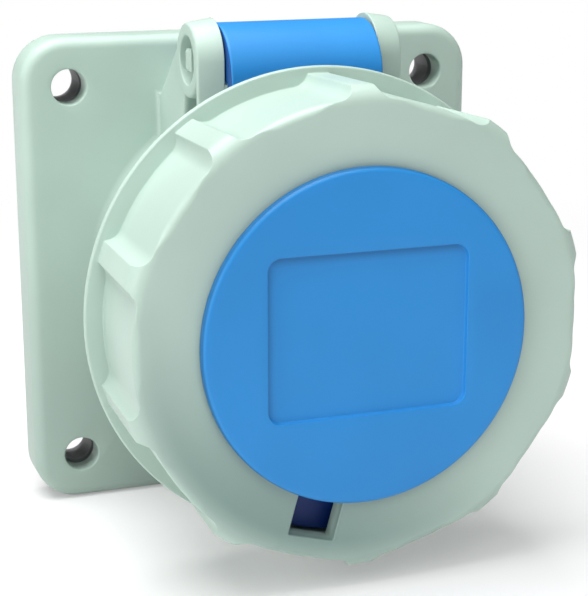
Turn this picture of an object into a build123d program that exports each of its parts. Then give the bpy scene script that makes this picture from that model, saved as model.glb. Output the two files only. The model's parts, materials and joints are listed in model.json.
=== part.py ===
from build123d import *
from math import asin, cos, degrees, radians, sin
import os

os.makedirs("parts", exist_ok=True)

# Industrial panel socket with a hinged lid and a turning bayonet ring. Sizes are in millimetres.
# The origin is the centre of the panel plane, +Z is up and +Y runs into the panel.
# A name that ends in _at is a station: the distance in front of the panel plane, so Y = -station.
# A clock angle is counted clockwise from the top, as the socket is seen from the front.

# Driving dimensions: flange and flange gasket
hole_spacing = 60.0
hole_margin = 7.5
mounting_hole_r = 2.75
flange_corner_r = 7.0
flange_edge_r = 1.8
flange_wall = 3.9
flange_depth = 7.5
flange_skirt_wall = 2.6
gasket_thickness = 6.8
gasket_side_gap = 0.4
gasket_hole_r = 26.0
lead_in_r = 3.6
lead_in_depth = 1.3

# Driving dimensions: collar and its bayonet lugs
plug_gap = 5.0
collar_wall = 2.5
collar_length = 38.4
collar_root_r = 2.0
collar_edge = 0.5
mouth_step = 0.3
mouth_length = 5.4
keyway_width = 7.0
keyway_depth = 1.2
lug_half_angle = 9.0
lug_embed = 1.0
collar_lug_height = 2.8
collar_lug_thickness = 2.6
stop_half_angle = 1.5
stop_gap_angle = 1.5

# Driving dimensions: contact carrier, terminal base and what they hold
carrier_r = 18.0
carrier_sink = 6.1
carrier_edge = 0.8
carrier_front_wall = 3.0
carrier_flange_width = 4.8
carrier_flange_thickness = 1.6
carrier_gap = 0.3
seal_thickness = 1.0
base_thickness = 2.2
barrier_wall = 2.2
barrier_setback = 5.2
barrier_overhang = 3.0
contact_circle_r = 10.5
line_pin_r = 2.5
earth_pin_r = 3.0
contact_wall = 0.9
contact_entry_gap = 0.3
pin_depth = 27.0
slit_width = 0.6
slit_length = 14.0
clip_thickness = 0.5
clip_width = 3.0
clip_setback = 3.0
clip_opening = 2.4
cavity_gap = 0.15
terminal_width = 8.4
terminal_length = 14.0
wire_hole_r = 2.1
wire_depth = 10.0
terminal_screw_length = 4.6
line_screw_r = 2.0
earth_screw_r = 2.4
thread_gap = 0.02
small_screw_r = 1.4
small_head_r = 2.2
small_head_height = 1.8
small_screw_bite = 3.0
small_screw_clearance = 0.4
terminal_tip_gap = 0.1
slot_width = 0.7
slot_depth = 0.7

# Driving dimensions: lid, lid gasket and front disc
lid_gasket_gap = 0.3
lid_gasket_thickness = 3.0
lid_gasket_width = 5.3
lid_seat_gap = 0.1
lid_plate = 2.2
lid_wall = 2.2
lid_skirt_gap = 2.1
lid_lug_gap = 0.9
strap_embed = 1.0
locating_rib = 1.6
locating_rib_height = 2.5
bearing_height = 1.25
bearing_width = 3.4
hub_r = 19.6
hub_wall = 2.2
slide_gap = 0.15
disc_r = 24.0
disc_thickness = 1.5
disc_edge = 0.45
spigot_wall = 2.0
spigot_gap = 0.1
spigot_length = 3.2
recess_width = 29.5
recess_height = 23.4
recess_corner_r = 2.0
recess_depth = 0.7
recess_rise = 0.8

# Driving dimensions: bayonet ring
ring_gap = 0.8
ring_hub_gap = 0.4
ring_wall = 2.2
ring_length = 19.9
ring_front_wall = 3.1
rim_height = 2.5
rim_thickness = 1.1
rim_edge = 0.35
land_count = 10
land_height = 1.7
land_top_width = 3.4
land_flank = 2.4
shoulder_r = 2.4
flute_edge_setback = 0.1
window_clock = 195.5
window_width = 7.0
window_outer_r = 29.9
window_length = 6.6
lug_turn = 30.0
ring_lug_gap = 0.9
ring_lug_thickness = 2.2
ring_lug_setback = 0.3
lug_slide_gap = 0.3

# Driving dimensions: hinge
hinge_reach = 17.1
hinge_z = 35.4
knuckle_r = 6.1
knuckle_taper = 9.0
knuckle_edge_r = 0.5
ear_inner_x = 12.0
ear_thickness = 4.0
ear_web_inset = 1.1
ear_web_r = 5.2
ear_front_wall = 2.6
ear_foot_length = 3.0
ear_foot_z = 27.6
ear_root_z = 18.0
pin_r = 2.0
pin_running_gap = 0.06
pin_seat_gap = 0.02
pin_recess_r = 3.6
pin_recess_depth = 2.1
tongue_width = 2.2
tongue_height = 3.3
tongue_edge = 0.35
tongue_sink = 0.1
hood_r = 8.0
hood_lead = 0.6
hood_drop = 2.6
hood_wall = 2.0
hood_side_gap = 0.2
hood_edge_r = 0.4
eye_r = 3.9
hood_rib = 2.4

# Stations, from the panel to the front
flange_inner_at = gasket_thickness
flange_front_at = flange_inner_at + flange_wall
flange_back_at = flange_front_at - flange_depth
collar_front_at = flange_front_at + collar_length
mouth_front_at = collar_front_at - collar_edge
mouth_back_at = mouth_front_at - mouth_length
lid_gasket_at = collar_front_at + lid_gasket_gap
lid_plate_back_at = lid_gasket_at + lid_gasket_thickness
lid_plate_front_at = lid_plate_back_at + lid_plate
bearing_at = lid_plate_front_at + bearing_height
ring_web_back_at = bearing_at + slide_gap
ring_front_at = ring_web_back_at + ring_front_wall
ring_back_at = ring_front_at - ring_length
rim_front_at = ring_back_at + rim_thickness
disc_back_at = ring_front_at + slide_gap
disc_front_at = disc_back_at + disc_thickness
ring_lug_back_at = ring_back_at + ring_lug_setback
ring_lug_front_at = ring_lug_back_at + ring_lug_thickness
collar_lug_back_at = ring_lug_front_at + lug_slide_gap
collar_lug_front_at = collar_lug_back_at + collar_lug_thickness
lid_skirt_back_at = collar_lug_front_at + lid_lug_gap
carrier_front_at = collar_front_at - carrier_sink
contact_front_at = carrier_front_at - carrier_front_wall
pin_end_at = contact_front_at - pin_depth
carrier_flange_front_at = flange_inner_at - seal_thickness
carrier_back_at = carrier_flange_front_at - carrier_flange_thickness
base_back_at = carrier_back_at - base_thickness
terminal_back_at = base_back_at - terminal_length
terminal_screw_at = terminal_back_at + terminal_length / 2
barrier_back_at = terminal_back_at - barrier_overhang
base_screw_end_at = flange_inner_at + small_screw_bite
hinge_at = flange_front_at + hinge_reach
ear_front_at = hinge_at + knuckle_r
ear_foot_front_at = flange_front_at + ear_foot_length

# Radii and widths that follow from the ones above
flange_side = hole_spacing + 2 * hole_margin
collar_bore_r = carrier_r + plug_gap
mouth_r = collar_bore_r + mouth_step
collar_r = collar_bore_r + collar_wall
carrier_flange_r = carrier_r + carrier_flange_width
lid_bore_r = collar_r + lid_skirt_gap
lid_r = lid_bore_r + lid_wall
ring_bore_r = lid_r + ring_gap
flute_r = ring_bore_r + ring_wall
land_r = flute_r + land_height
rim_r = flute_r + rim_height
flute_edge_r = shoulder_r - land_height - flute_edge_setback
ring_hole_r = hub_r + ring_hub_gap
hub_bore_r = hub_r - hub_wall
ring_lug_r = collar_r + ring_lug_gap
collar_lug_r = collar_r + collar_lug_height
lid_gasket_outer_r = lid_bore_r - lid_seat_gap
lid_gasket_inner_r = lid_gasket_outer_r - lid_gasket_width
locating_rib_r = lid_gasket_inner_r - lid_seat_gap
plate_hole_r = carrier_r + carrier_gap
screw_hole_r = small_screw_r + small_screw_clearance
base_screw_circle_r = (plate_hole_r + carrier_flange_r) / 2
barrier_r = carrier_flange_r - barrier_setback
ear_outer_x = ear_inner_x + ear_thickness
hood_half_width = ear_inner_x - hood_side_gap
hood_centre_at = hinge_at + hood_lead
hood_centre_z = hinge_z - hood_drop
hood_front_at = hood_centre_at + hood_r
pin_seat_x = ear_outer_x - pin_recess_depth
strap_low_z = lid_bore_r * cos(asin(hood_half_width / lid_bore_r)) - strap_embed
pocket_side = flange_side - 2 * flange_skirt_wall
gasket_side = pocket_side - 2 * gasket_side_gap
spigot_r = hub_bore_r - spigot_gap
base_screw_length = base_screw_end_at - base_back_at
terminal_screw_tip_r = contact_circle_r + wire_hole_r + terminal_tip_gap
strap_half_angle = degrees(asin(hood_half_width / lid_r))

# Clock angles of the contacts: the earth contact is at the bottom
line_clock = 60.0
earth_clock = 180.0
neutral_clock = 300.0
ring_lug_clocks = (90.0, 270.0)
base_screw_clocks = (0.0, 120.0, 240.0)
contacts = (
    ("line", line_clock, line_pin_r, line_screw_r),
    ("earth", earth_clock, earth_pin_r, earth_screw_r),
    ("neutral", neutral_clock, line_pin_r, line_screw_r),
)


def is_close(size, wanted):
    """Tell whether a measured size is the wanted one."""
    return abs(size - wanted) < 0.01


def spot(radius, clock):
    """Place of a clock angle on a sketch that faces the front."""
    return (radius * sin(radians(clock)), radius * cos(radians(clock)))


def turned(corners, clock=0.0, span=360.0, mode=Mode.ADD):
    """Revolve a section of (radius, station) corners about the socket's axis.

    A part turn is span degrees wide and centred on the clock angle.
    """
    start = Plane.XY.rotated((0, clock - span / 2 - 90, 0))
    with BuildSketch(start) as section:
        with BuildLine():
            Polyline(*[(radius, -station) for radius, station in corners], close=True)
        make_face()
    revolve(section.sketch, axis=Axis.Y, revolution_arc=span, mode=mode)


def tube(outer_r, inner_r, back_at, front_at):
    """Corners of a plain tube's section."""
    return [(inner_r, back_at), (outer_r, back_at), (outer_r, front_at), (inner_r, front_at)]


def cavity_r(pin_radius):
    """Radius of the room for a contact's sleeve and the clip around it."""
    return pin_radius + contact_wall + clip_thickness + cavity_gap


def drill(radius, places, back_at, front_at):
    """Cut round holes from one station forward to another."""
    with BuildSketch(Plane.XZ.offset(back_at)) as holes:
        with Locations(*places):
            Circle(radius)
    extrude(holes.sketch, amount=front_at - back_at, mode=Mode.SUBTRACT)


def radial_plane(radius, clock, station):
    """Plane that faces away from the axis along a clock angle."""
    x, z = spot(radius, clock)
    outward = spot(1, clock)
    return Plane(origin=(x, -station, z), x_dir=(0, 1, 0), z_dir=(outward[0], 0, outward[1]))


def slotted_screw(seat, head_radius, head_height, shank_radius, shank_length):
    """Build a screw whose head stands on the seat plane and whose shank goes down from it."""
    with BuildSketch(seat) as head:
        Circle(head_radius)
    extrude(head.sketch, amount=head_height)
    with BuildSketch(seat) as shank:
        Circle(shank_radius)
    extrude(shank.sketch, amount=-shank_length)
    with BuildSketch(seat.offset(head_height)) as slot:
        Rectangle(2 * head_radius, slot_width)
    extrude(slot.sketch, amount=-slot_depth, mode=Mode.SUBTRACT)


def terminal_screw(clock, radius):
    """Build a headless screw that ends just outside the wire hole."""
    with BuildSketch(radial_plane(terminal_screw_tip_r, clock, terminal_screw_at)) as shank:
        Circle(radius)
    extrude(shank.sketch, amount=terminal_screw_length)
    top = radial_plane(terminal_screw_tip_r + terminal_screw_length, clock, terminal_screw_at)
    with BuildSketch(top) as slot:
        Rectangle(2 * radius, slot_width)
    extrude(slot.sketch, amount=-slot_depth, mode=Mode.SUBTRACT)


bolt_places = [(x * hole_spacing / 2, z * hole_spacing / 2) for x in (-1, 1) for z in (-1, 1)]
base_screw_places = [spot(base_screw_circle_r, clock) for clock in base_screw_clocks]

# Flange of the housing: a square plate with a hollow back
with BuildPart() as housing_flange:
    with BuildSketch(Plane.XZ.offset(flange_back_at)):
        RectangleRounded(flange_side, flange_side, flange_corner_r)
    extrude(amount=flange_depth)
    fillet(faces().sort_by(Axis.Y)[0].edges(), flange_edge_r)
    with BuildSketch(Plane.XZ.offset(flange_back_at)):
        RectangleRounded(pocket_side, pocket_side, flange_corner_r - flange_skirt_wall)
    extrude(amount=flange_depth - flange_wall, mode=Mode.SUBTRACT)
    drill(plate_hole_r, [(0, 0)], flange_inner_at, flange_front_at)
    drill(mounting_hole_r, bolt_places, flange_inner_at, flange_front_at)
    drill(small_screw_r + thread_gap, base_screw_places, flange_inner_at, base_screw_end_at)
housing_flange.part.label = "housing_flange"
export_step(housing_flange.part, "parts/housing_flange.step")

# Collar of the housing: a tube with a rounded root, a slightly wider mouth, a keyway and bayonet lugs
with BuildPart() as housing_collar:
    with BuildSketch(Plane.XY.rotated((0, 90, 0))) as section:
        with BuildLine():
            root_start = (collar_r, -flange_front_at - collar_root_r)
            root_end = (collar_r + collar_root_r, -flange_front_at)
            Polyline(
                root_end,
                (collar_bore_r, -flange_front_at),
                (collar_bore_r, -mouth_back_at),
                (mouth_r, -mouth_back_at),
                (mouth_r, -mouth_front_at),
                (mouth_r + collar_edge, -collar_front_at),
                (collar_r - collar_edge, -collar_front_at),
                (collar_r, -mouth_front_at),
                root_start,
            )
            TangentArc(root_start, root_end, tangent=(0, 1))
        make_face()
    revolve(section.sketch, axis=Axis.Y)
    for clock in ring_lug_clocks:
        turned(tube(collar_lug_r, collar_r - lug_embed, collar_lug_back_at, collar_lug_front_at),
               clock + lug_turn, 2 * lug_half_angle)
        turned(tube(collar_lug_r, collar_r - lug_embed, ring_lug_back_at, collar_lug_front_at),
               clock + lug_turn + lug_half_angle + stop_gap_angle + stop_half_angle, 2 * stop_half_angle)
    with BuildSketch(Plane.XZ.offset(flange_front_at)):
        with Locations((0, -collar_bore_r)):
            Rectangle(keyway_width, 2 * keyway_depth)
    extrude(amount=collar_front_at - flange_front_at, mode=Mode.SUBTRACT)
housing_collar.part.label = "housing_collar"
export_step(housing_collar.part, "parts/housing_collar.step")

# Hinge ears of the housing: a tapered knuckle and front wall, a thinner web and a foot on the flange
with BuildPart() as hinge_ear_right:
    with BuildSketch(Plane.YZ.offset(ear_inner_x)):
        with Locations((-hinge_at, hinge_z)):
            Circle(knuckle_r)
        with Locations((-ear_front_at, ear_root_z)):
            Rectangle(ear_front_wall, hinge_z - ear_root_z, align=(Align.MIN, Align.MIN))
    extrude(amount=ear_thickness, taper=knuckle_taper)
    fillet(faces().sort_by(Axis.X)[-1].edges(), knuckle_edge_r)
    with BuildSketch(Plane.YZ.offset(ear_inner_x)):
        with Locations((-hinge_at, hinge_z)):
            Circle(ear_web_r)
        with BuildLine():
            Polyline(
                (-ear_foot_front_at, ear_root_z),
                (-ear_foot_front_at, ear_foot_z),
                (-hinge_at - ear_web_r, ear_root_z),
                close=True,
            )
        make_face()
        make_hull()
    extrude(amount=ear_thickness - ear_web_inset)
    with BuildSketch(Plane.YZ.offset(ear_inner_x)):
        with Locations((-flange_front_at, ear_root_z)):
            Rectangle(ear_foot_length, ear_foot_z - ear_root_z, align=(Align.MAX, Align.MIN))
    extrude(amount=ear_thickness)
    turned(tube(collar_bore_r + collar_wall / 2, 0, flange_front_at, ear_front_at), mode=Mode.SUBTRACT)
    add(housing_collar.part, mode=Mode.SUBTRACT)
    with BuildSketch(Plane.YZ.offset(ear_inner_x)):
        with Locations((-hinge_at, hinge_z)):
            Circle(pin_r + pin_seat_gap)
    extrude(amount=ear_thickness, mode=Mode.SUBTRACT)
    with BuildSketch(Plane.YZ.offset(pin_seat_x)):
        with Locations((-hinge_at, hinge_z)):
            Circle(pin_recess_r)
    extrude(amount=pin_recess_depth, mode=Mode.SUBTRACT)
hinge_ear_right.part.label = "hinge_ear_right"
export_step(hinge_ear_right.part, "parts/hinge_ear_right.step")

with BuildPart() as hinge_ear_left:
    add(mirror(hinge_ear_right.part, about=Plane.YZ))
hinge_ear_left.part.label = "hinge_ear_left"
export_step(hinge_ear_left.part, "parts/hinge_ear_left.step")

# Flange gasket: fills the flange's hollow back and stands on the panel
with BuildPart() as flange_gasket:
    with BuildSketch(Plane.XZ):
        RectangleRounded(gasket_side, gasket_side, flange_corner_r - flange_skirt_wall)
        Circle(gasket_hole_r, mode=Mode.SUBTRACT)
    extrude(amount=gasket_thickness)
    drill(mounting_hole_r, bolt_places, 0, gasket_thickness)
    drill(lead_in_r, bolt_places, gasket_thickness - lead_in_depth, gasket_thickness)
flange_gasket.part.label = "flange_gasket"
export_step(flange_gasket.part, "parts/flange_gasket.step")

# Contact carrier: the insulating insert, with a thin flange behind the housing's flange
with BuildPart() as contact_carrier:
    turned([
        (0, carrier_back_at),
        (carrier_flange_r, carrier_back_at),
        (carrier_flange_r, carrier_flange_front_at),
        (carrier_r, carrier_flange_front_at),
        (carrier_r, carrier_front_at - carrier_edge),
        (carrier_r - carrier_edge, carrier_front_at),
        (0, carrier_front_at),
    ])
    for _, clock, pin_radius, _ in contacts:
        place = [spot(contact_circle_r, clock)]
        drill(cavity_r(pin_radius), place, carrier_back_at, contact_front_at)
        drill(pin_radius + contact_entry_gap, place, contact_front_at, carrier_front_at)
    drill(screw_hole_r, base_screw_places, carrier_back_at, carrier_flange_front_at)
contact_carrier.part.label = "contact_carrier"
export_step(contact_carrier.part, "parts/contact_carrier.step")

# Terminal base: a disc behind the carrier, with three barrier walls between the terminals
with BuildPart() as terminal_base:
    turned(tube(carrier_flange_r, 0, base_back_at, carrier_back_at))
    with BuildSketch(Plane.XZ.offset(barrier_back_at)) as barriers:
        for clock in base_screw_clocks:
            with Locations(spot(barrier_r / 2, clock)):
                Rectangle(barrier_wall, barrier_r, rotation=-clock)
    extrude(barriers.sketch, amount=base_back_at - barrier_back_at)
    for _, clock, pin_radius, _ in contacts:
        drill(cavity_r(pin_radius), [spot(contact_circle_r, clock)], base_back_at, carrier_back_at)
    drill(screw_hole_r, base_screw_places, base_back_at, carrier_back_at)
terminal_base.part.label = "terminal_base"
export_step(terminal_base.part, "parts/terminal_base.step")

# Seal ring between the carrier's flange and the housing's flange
with BuildPart() as carrier_seal:
    turned(tube(carrier_flange_r, plate_hole_r, carrier_flange_front_at, flange_inner_at))
    drill(screw_hole_r, base_screw_places, carrier_flange_front_at, flange_inner_at)
carrier_seal.part.label = "carrier_seal"
export_step(carrier_seal.part, "parts/carrier_seal.step")

# Screws that hold the terminal base and the carrier from behind
with BuildPart() as base_screws:
    for x, z in base_screw_places:
        seat = Plane(origin=(x, -base_back_at, z), x_dir=(1, 0, 0), z_dir=(0, 1, 0))
        slotted_screw(seat, small_head_r, small_head_height, small_screw_r, base_screw_length)
base_screws.part.label = "base_screws"
export_step(base_screws.part, "parts/base_screws.step")

# Contacts: a slit sleeve for the plug's pin, with a square terminal block behind it
for name, clock, pin_radius, screw_radius in contacts:
    place = [spot(contact_circle_r, clock)]
    sleeve_r = pin_radius + contact_wall
    with BuildPart() as contact:
        with BuildSketch(Plane.XZ.offset(base_back_at)):
            with Locations(*place):
                Circle(sleeve_r)
        extrude(amount=contact_front_at - base_back_at)
        with BuildSketch(Plane.XZ.offset(terminal_back_at)):
            with Locations(*place):
                Rectangle(terminal_width, terminal_width, rotation=-clock)
        extrude(amount=terminal_length)
        drill(pin_radius, place, pin_end_at, contact_front_at)
        drill(wire_hole_r, place, terminal_back_at, terminal_back_at + wire_depth)
        with BuildSketch(Plane.XZ.offset(contact_front_at - slit_length)):
            with Locations(*place):
                Rectangle(slit_width, 2 * sleeve_r + slit_width, rotation=-clock)
                Rectangle(2 * sleeve_r + slit_width, slit_width, rotation=-clock)
        extrude(amount=slit_length, mode=Mode.SUBTRACT)
        with BuildSketch(radial_plane(contact_circle_r, clock, terminal_screw_at)):
            Circle(screw_radius + thread_gap)
        extrude(amount=terminal_width, mode=Mode.SUBTRACT)
    contact.part.label = name + "_contact"
    export_step(contact.part, "parts/" + name + "_contact.step")
    with BuildPart() as clip:
        with BuildSketch(Plane.XZ.offset(contact_front_at - clip_setback - clip_width)):
            with Locations(*place):
                Circle(sleeve_r + clip_thickness)
                Circle(sleeve_r + thread_gap, mode=Mode.SUBTRACT)
            with Locations(spot(contact_circle_r + sleeve_r, clock)):
                Rectangle(clip_opening, 2 * sleeve_r, rotation=-clock, mode=Mode.SUBTRACT)
        extrude(amount=clip_width)
    clip.part.label = name + "_clip"
    export_step(clip.part, "parts/" + name + "_clip.step")

# Terminal screws: headless and slotted, one in each terminal block
with BuildPart() as terminal_screws:
    for clock in (line_clock, neutral_clock):
        terminal_screw(clock, line_screw_r)
terminal_screws.part.label = "terminal_screws"
export_step(terminal_screws.part, "parts/terminal_screws.step")

with BuildPart() as earth_terminal_screw:
    terminal_screw(earth_clock, earth_screw_r)
earth_terminal_screw.part.label = "earth_terminal_screw"
export_step(earth_terminal_screw.part, "parts/earth_terminal_screw.step")

# Shell of the hinge hood: a half round with a front wall down to the strap
with BuildPart() as hood:
    with BuildSketch(Plane.YZ):
        with Locations((-hood_centre_at, hood_centre_z)):
            Circle(hood_r)
            Circle(hood_r - hood_wall, mode=Mode.SUBTRACT)
        with Locations((-hood_centre_at, hood_centre_z - hood_r)):
            Rectangle(2 * hood_r, 2 * hood_r, mode=Mode.SUBTRACT)
        with Locations((-hood_front_at + hood_wall / 2, (hood_centre_z + strap_low_z) / 2)):
            Rectangle(hood_wall, hood_centre_z - strap_low_z)
    extrude(amount=hood_half_width, both=True)
    hood_arcs = edges().filter_by(GeomType.CIRCLE).filter_by(lambda edge: is_close(edge.radius, hood_r))
    fillet(hood_arcs, hood_edge_r)

# Lid cap: plate, skirt and hub in one piece with the strap and the hinge hood above them
with BuildPart() as lid_cap:
    turned([
        (0, lid_plate_back_at),
        (locating_rib_r - locating_rib, lid_plate_back_at),
        (locating_rib_r - locating_rib, lid_plate_back_at - locating_rib_height),
        (locating_rib_r, lid_plate_back_at - locating_rib_height),
        (locating_rib_r, lid_plate_back_at),
        (lid_bore_r, lid_plate_back_at),
        (lid_bore_r, lid_skirt_back_at),
        (lid_r, lid_skirt_back_at),
        (lid_r, lid_plate_front_at),
        (hub_r + bearing_width, lid_plate_front_at),
        (hub_r + bearing_width, bearing_at),
        (hub_r, bearing_at),
        (hub_r, disc_back_at),
        (hub_bore_r, disc_back_at),
        (hub_bore_r, lid_plate_front_at),
        (0, lid_plate_front_at),
    ])
    turned(tube(lid_r, lid_bore_r, hood_front_at - hood_wall, lid_skirt_back_at), span=2 * strap_half_angle)
    add(hood.part)
    for x in (-hood_half_width, -hood_rib / 2, hood_half_width - hood_rib):
        with BuildSketch(Plane.YZ.offset(x)):
            with Locations((-hood_centre_at, hood_centre_z)):
                Circle(hood_r - hood_wall / 2)
            with Locations((-hood_centre_at, hood_centre_z - hood_r)):
                Rectangle(2 * hood_r, 2 * hood_r, mode=Mode.SUBTRACT)
            with Locations((-hinge_at, hinge_z)):
                Circle(eye_r)
        extrude(amount=hood_rib)
    turned([(0, hinge_at), (lid_bore_r, hinge_at), (lid_bore_r, lid_skirt_back_at), (0, lid_skirt_back_at)],
           mode=Mode.SUBTRACT)
    with BuildSketch(Plane.YZ):
        with Locations((-hinge_at, hinge_z)):
            Circle(pin_r + pin_running_gap)
    extrude(amount=hood_half_width, both=True, mode=Mode.SUBTRACT)
lid_cap.part.label = "lid_cap"
export_step(lid_cap.part, "parts/lid_cap.step")

# Lid gasket: a flat ring that the collar's front edge presses on
with BuildPart() as lid_gasket:
    turned(tube(lid_gasket_outer_r, lid_gasket_inner_r, lid_gasket_at, lid_plate_back_at))
lid_gasket.part.label = "lid_gasket"
export_step(lid_gasket.part, "parts/lid_gasket.step")

# Front disc: closes the hub and keeps the bayonet ring on the lid
with BuildPart() as front_disc:
    turned([
        (0, disc_back_at),
        (spigot_r - spigot_wall, disc_back_at),
        (spigot_r - spigot_wall, disc_back_at - spigot_length),
        (spigot_r, disc_back_at - spigot_length),
        (spigot_r, disc_back_at),
        (disc_r, disc_back_at),
        (disc_r, disc_front_at - disc_edge),
        (disc_r - disc_edge, disc_front_at),
        (0, disc_front_at),
    ])
    with BuildSketch(Plane.XZ.offset(disc_front_at)):
        with Locations((0, recess_rise)):
            RectangleRounded(recess_width, recess_height, recess_corner_r)
    extrude(amount=-recess_depth, mode=Mode.SUBTRACT)
front_disc.part.label = "front_disc"
export_step(front_disc.part, "parts/front_disc.step")

# Outline of one grip land: flanks that curve up from the flute to a flat top
with BuildSketch() as land_bar:
    half_top = land_top_width / 2
    half_foot = half_top + land_flank
    with BuildLine():
        TangentArc((flute_r, -half_foot), (land_r, -half_top), tangent=(0, 1))
        Polyline((land_r, -half_top), (rim_r, -half_top), (rim_r, half_top), (land_r, half_top))
        TangentArc((flute_r, half_foot), (land_r, half_top), tangent=(0, -1))
        Polyline((flute_r, half_foot), (ring_bore_r, half_foot), (ring_bore_r, -half_foot),
                 (flute_r, -half_foot))
    make_face()

# Grip of the ring: a turned form with a rounded shoulder, cut to a round outline with ten lands
with BuildPart() as grip:
    with BuildSketch(Plane.XY.rotated((0, 90, 0))) as section:
        with BuildLine():
            face_edge = (land_r - shoulder_r, -ring_front_at)
            shoulder_foot = (land_r, -ring_front_at + shoulder_r)
            inner_front = (ring_bore_r, -ring_front_at)
            inner_back = (ring_bore_r, -rim_front_at)
            Polyline(face_edge, inner_front, inner_back, (land_r, -rim_front_at), shoulder_foot)
            RadiusArc(shoulder_foot, face_edge, shoulder_r)
        make_face()
    revolve(section.sketch, axis=Axis.Y)
    with BuildSketch(Plane.XZ.offset(ring_back_at)):
        Circle(flute_r)
        with PolarLocations(0, land_count, start_angle=90):
            add(land_bar.sketch)
    extrude(amount=ring_length, mode=Mode.INTERSECT)
    flute_arcs = edges().filter_by(GeomType.CIRCLE).filter_by(lambda edge: is_close(edge.radius, flute_r))
    fillet(flute_arcs.filter_by(lambda edge: edge.center().Y < -ring_front_at + shoulder_r), flute_edge_r)

# Bayonet ring: a fluted grip ring with a rim, a front wall, a window and two inner lugs
with BuildPart() as bayonet_ring:
    add(grip.part)
    turned([
        (ring_bore_r, ring_back_at),
        (rim_r - rim_edge, ring_back_at),
        (rim_r, ring_back_at + rim_edge),
        (rim_r, rim_front_at - rim_edge),
        (rim_r - rim_edge, rim_front_at),
        (ring_bore_r, rim_front_at),
    ])
    turned(tube(ring_bore_r + lug_embed, ring_hole_r, ring_web_back_at, ring_front_at))
    for clock in ring_lug_clocks:
        turned(tube(ring_bore_r + lug_embed, ring_lug_r, ring_lug_back_at, ring_lug_front_at), clock,
               2 * lug_half_angle)
    with BuildSketch(Plane.XZ.offset(ring_web_back_at)):
        with Locations(spot(window_outer_r - window_length / 2, window_clock)):
            Rectangle(window_width, window_length, rotation=-window_clock)
    extrude(amount=ring_front_wall, mode=Mode.SUBTRACT)
bayonet_ring.part.label = "bayonet_ring"
export_step(bayonet_ring.part, "parts/bayonet_ring.step")

# Hinge pin: a round rod whose ends are flattened to tongues that show in the ears' recesses
with BuildPart() as hinge_pin:
    with BuildSketch(Plane.YZ):
        with Locations((-hinge_at, hinge_z)):
            Circle(pin_r)
    extrude(amount=pin_seat_x, both=True)
    with BuildSketch(Plane.YZ):
        with Locations((-hinge_at, hinge_z)):
            Rectangle(tongue_width, tongue_height)
    extrude(amount=ear_outer_x - tongue_sink, both=True)
    chamfer(faces().sort_by(Axis.X)[-1].edges(), tongue_edge)
    chamfer(faces().sort_by(Axis.X)[0].edges(), tongue_edge)
hinge_pin.part.label = "hinge_pin"
export_step(hinge_pin.part, "parts/hinge_pin.step")
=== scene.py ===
"""Looks of the industrial panel socket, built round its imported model.

Lengths are millimetres and become metres when a mesh is made. Those of masks, lamps and aims are metres.
A station is the distance in front of the panel plane, so y = -station.
A clock angle is counted clockwise from the top, as the socket is seen from the front.
"""

import json
import logging
import math
from collections.abc import Callable, Iterable
from dataclasses import dataclass, field
from enum import Enum
from functools import cached_property, partial

import bmesh
import bpy
import numpy as np
from mathutils import Matrix


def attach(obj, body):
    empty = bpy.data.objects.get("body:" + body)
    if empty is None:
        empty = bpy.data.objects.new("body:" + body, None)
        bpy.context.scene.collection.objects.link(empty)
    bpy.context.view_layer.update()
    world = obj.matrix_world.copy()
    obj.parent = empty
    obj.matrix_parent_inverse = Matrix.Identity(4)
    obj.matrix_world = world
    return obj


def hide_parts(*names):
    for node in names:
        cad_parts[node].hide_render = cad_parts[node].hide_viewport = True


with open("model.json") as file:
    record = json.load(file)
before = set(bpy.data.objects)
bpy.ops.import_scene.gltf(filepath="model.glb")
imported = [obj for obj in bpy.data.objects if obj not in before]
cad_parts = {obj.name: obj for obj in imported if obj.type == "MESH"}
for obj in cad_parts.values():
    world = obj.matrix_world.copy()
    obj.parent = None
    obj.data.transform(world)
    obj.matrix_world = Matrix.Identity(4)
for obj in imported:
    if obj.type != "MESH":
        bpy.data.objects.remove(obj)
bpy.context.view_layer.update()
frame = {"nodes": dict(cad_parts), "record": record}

logging.basicConfig(level=logging.INFO, format="%(levelname)s %(name)s: %(message)s")
log = logging.getLogger("panel_socket")

MM = 0.001
TAU = 2.0 * math.pi
WELD = 0.002
CUT_WELD = 0.0005
SHARP_DEGREES = 40.0
LEAST_SPREAD = 0.2
UPRIGHT = 0.95
ROOT_SLIP = 0.01
COLLAR_MIDDLE_R = 24.2
ROOTS_BELOW = 23.0
HOUSING_SHELL = ("housing_flange", "housing_collar")
HOUSING_EARS = ("hinge_ear_right", "hinge_ear_left")
REBUILT = ("bayonet_ring", "front_disc", *HOUSING_SHELL, *HOUSING_EARS)
GREY_GREEN = (0.42, 0.545, 0.482)
SAFETY_BLUE = (0.02, 0.235, 0.6)

Triple = tuple[float, float, float]
Pair = tuple[float, float]
Tree = bpy.types.NodeTree


class Body(str, Enum):
    """The moving bodies of the model."""

    HOUSING = "housing"
    LID = "lid"
    RING = "ring"


class Mask(str, Enum):
    """The masks of painted shade that a shaded plastic can follow, each a group of the node table."""

    LID_WELLS = "lid_wells"
    FACE_SHADE = "face_shade"
    DISC_WALL = "disc_wall"
    FLANGE_SHADE = "flange_shade"


# ---------------------------------------------------------------- shaping


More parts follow.
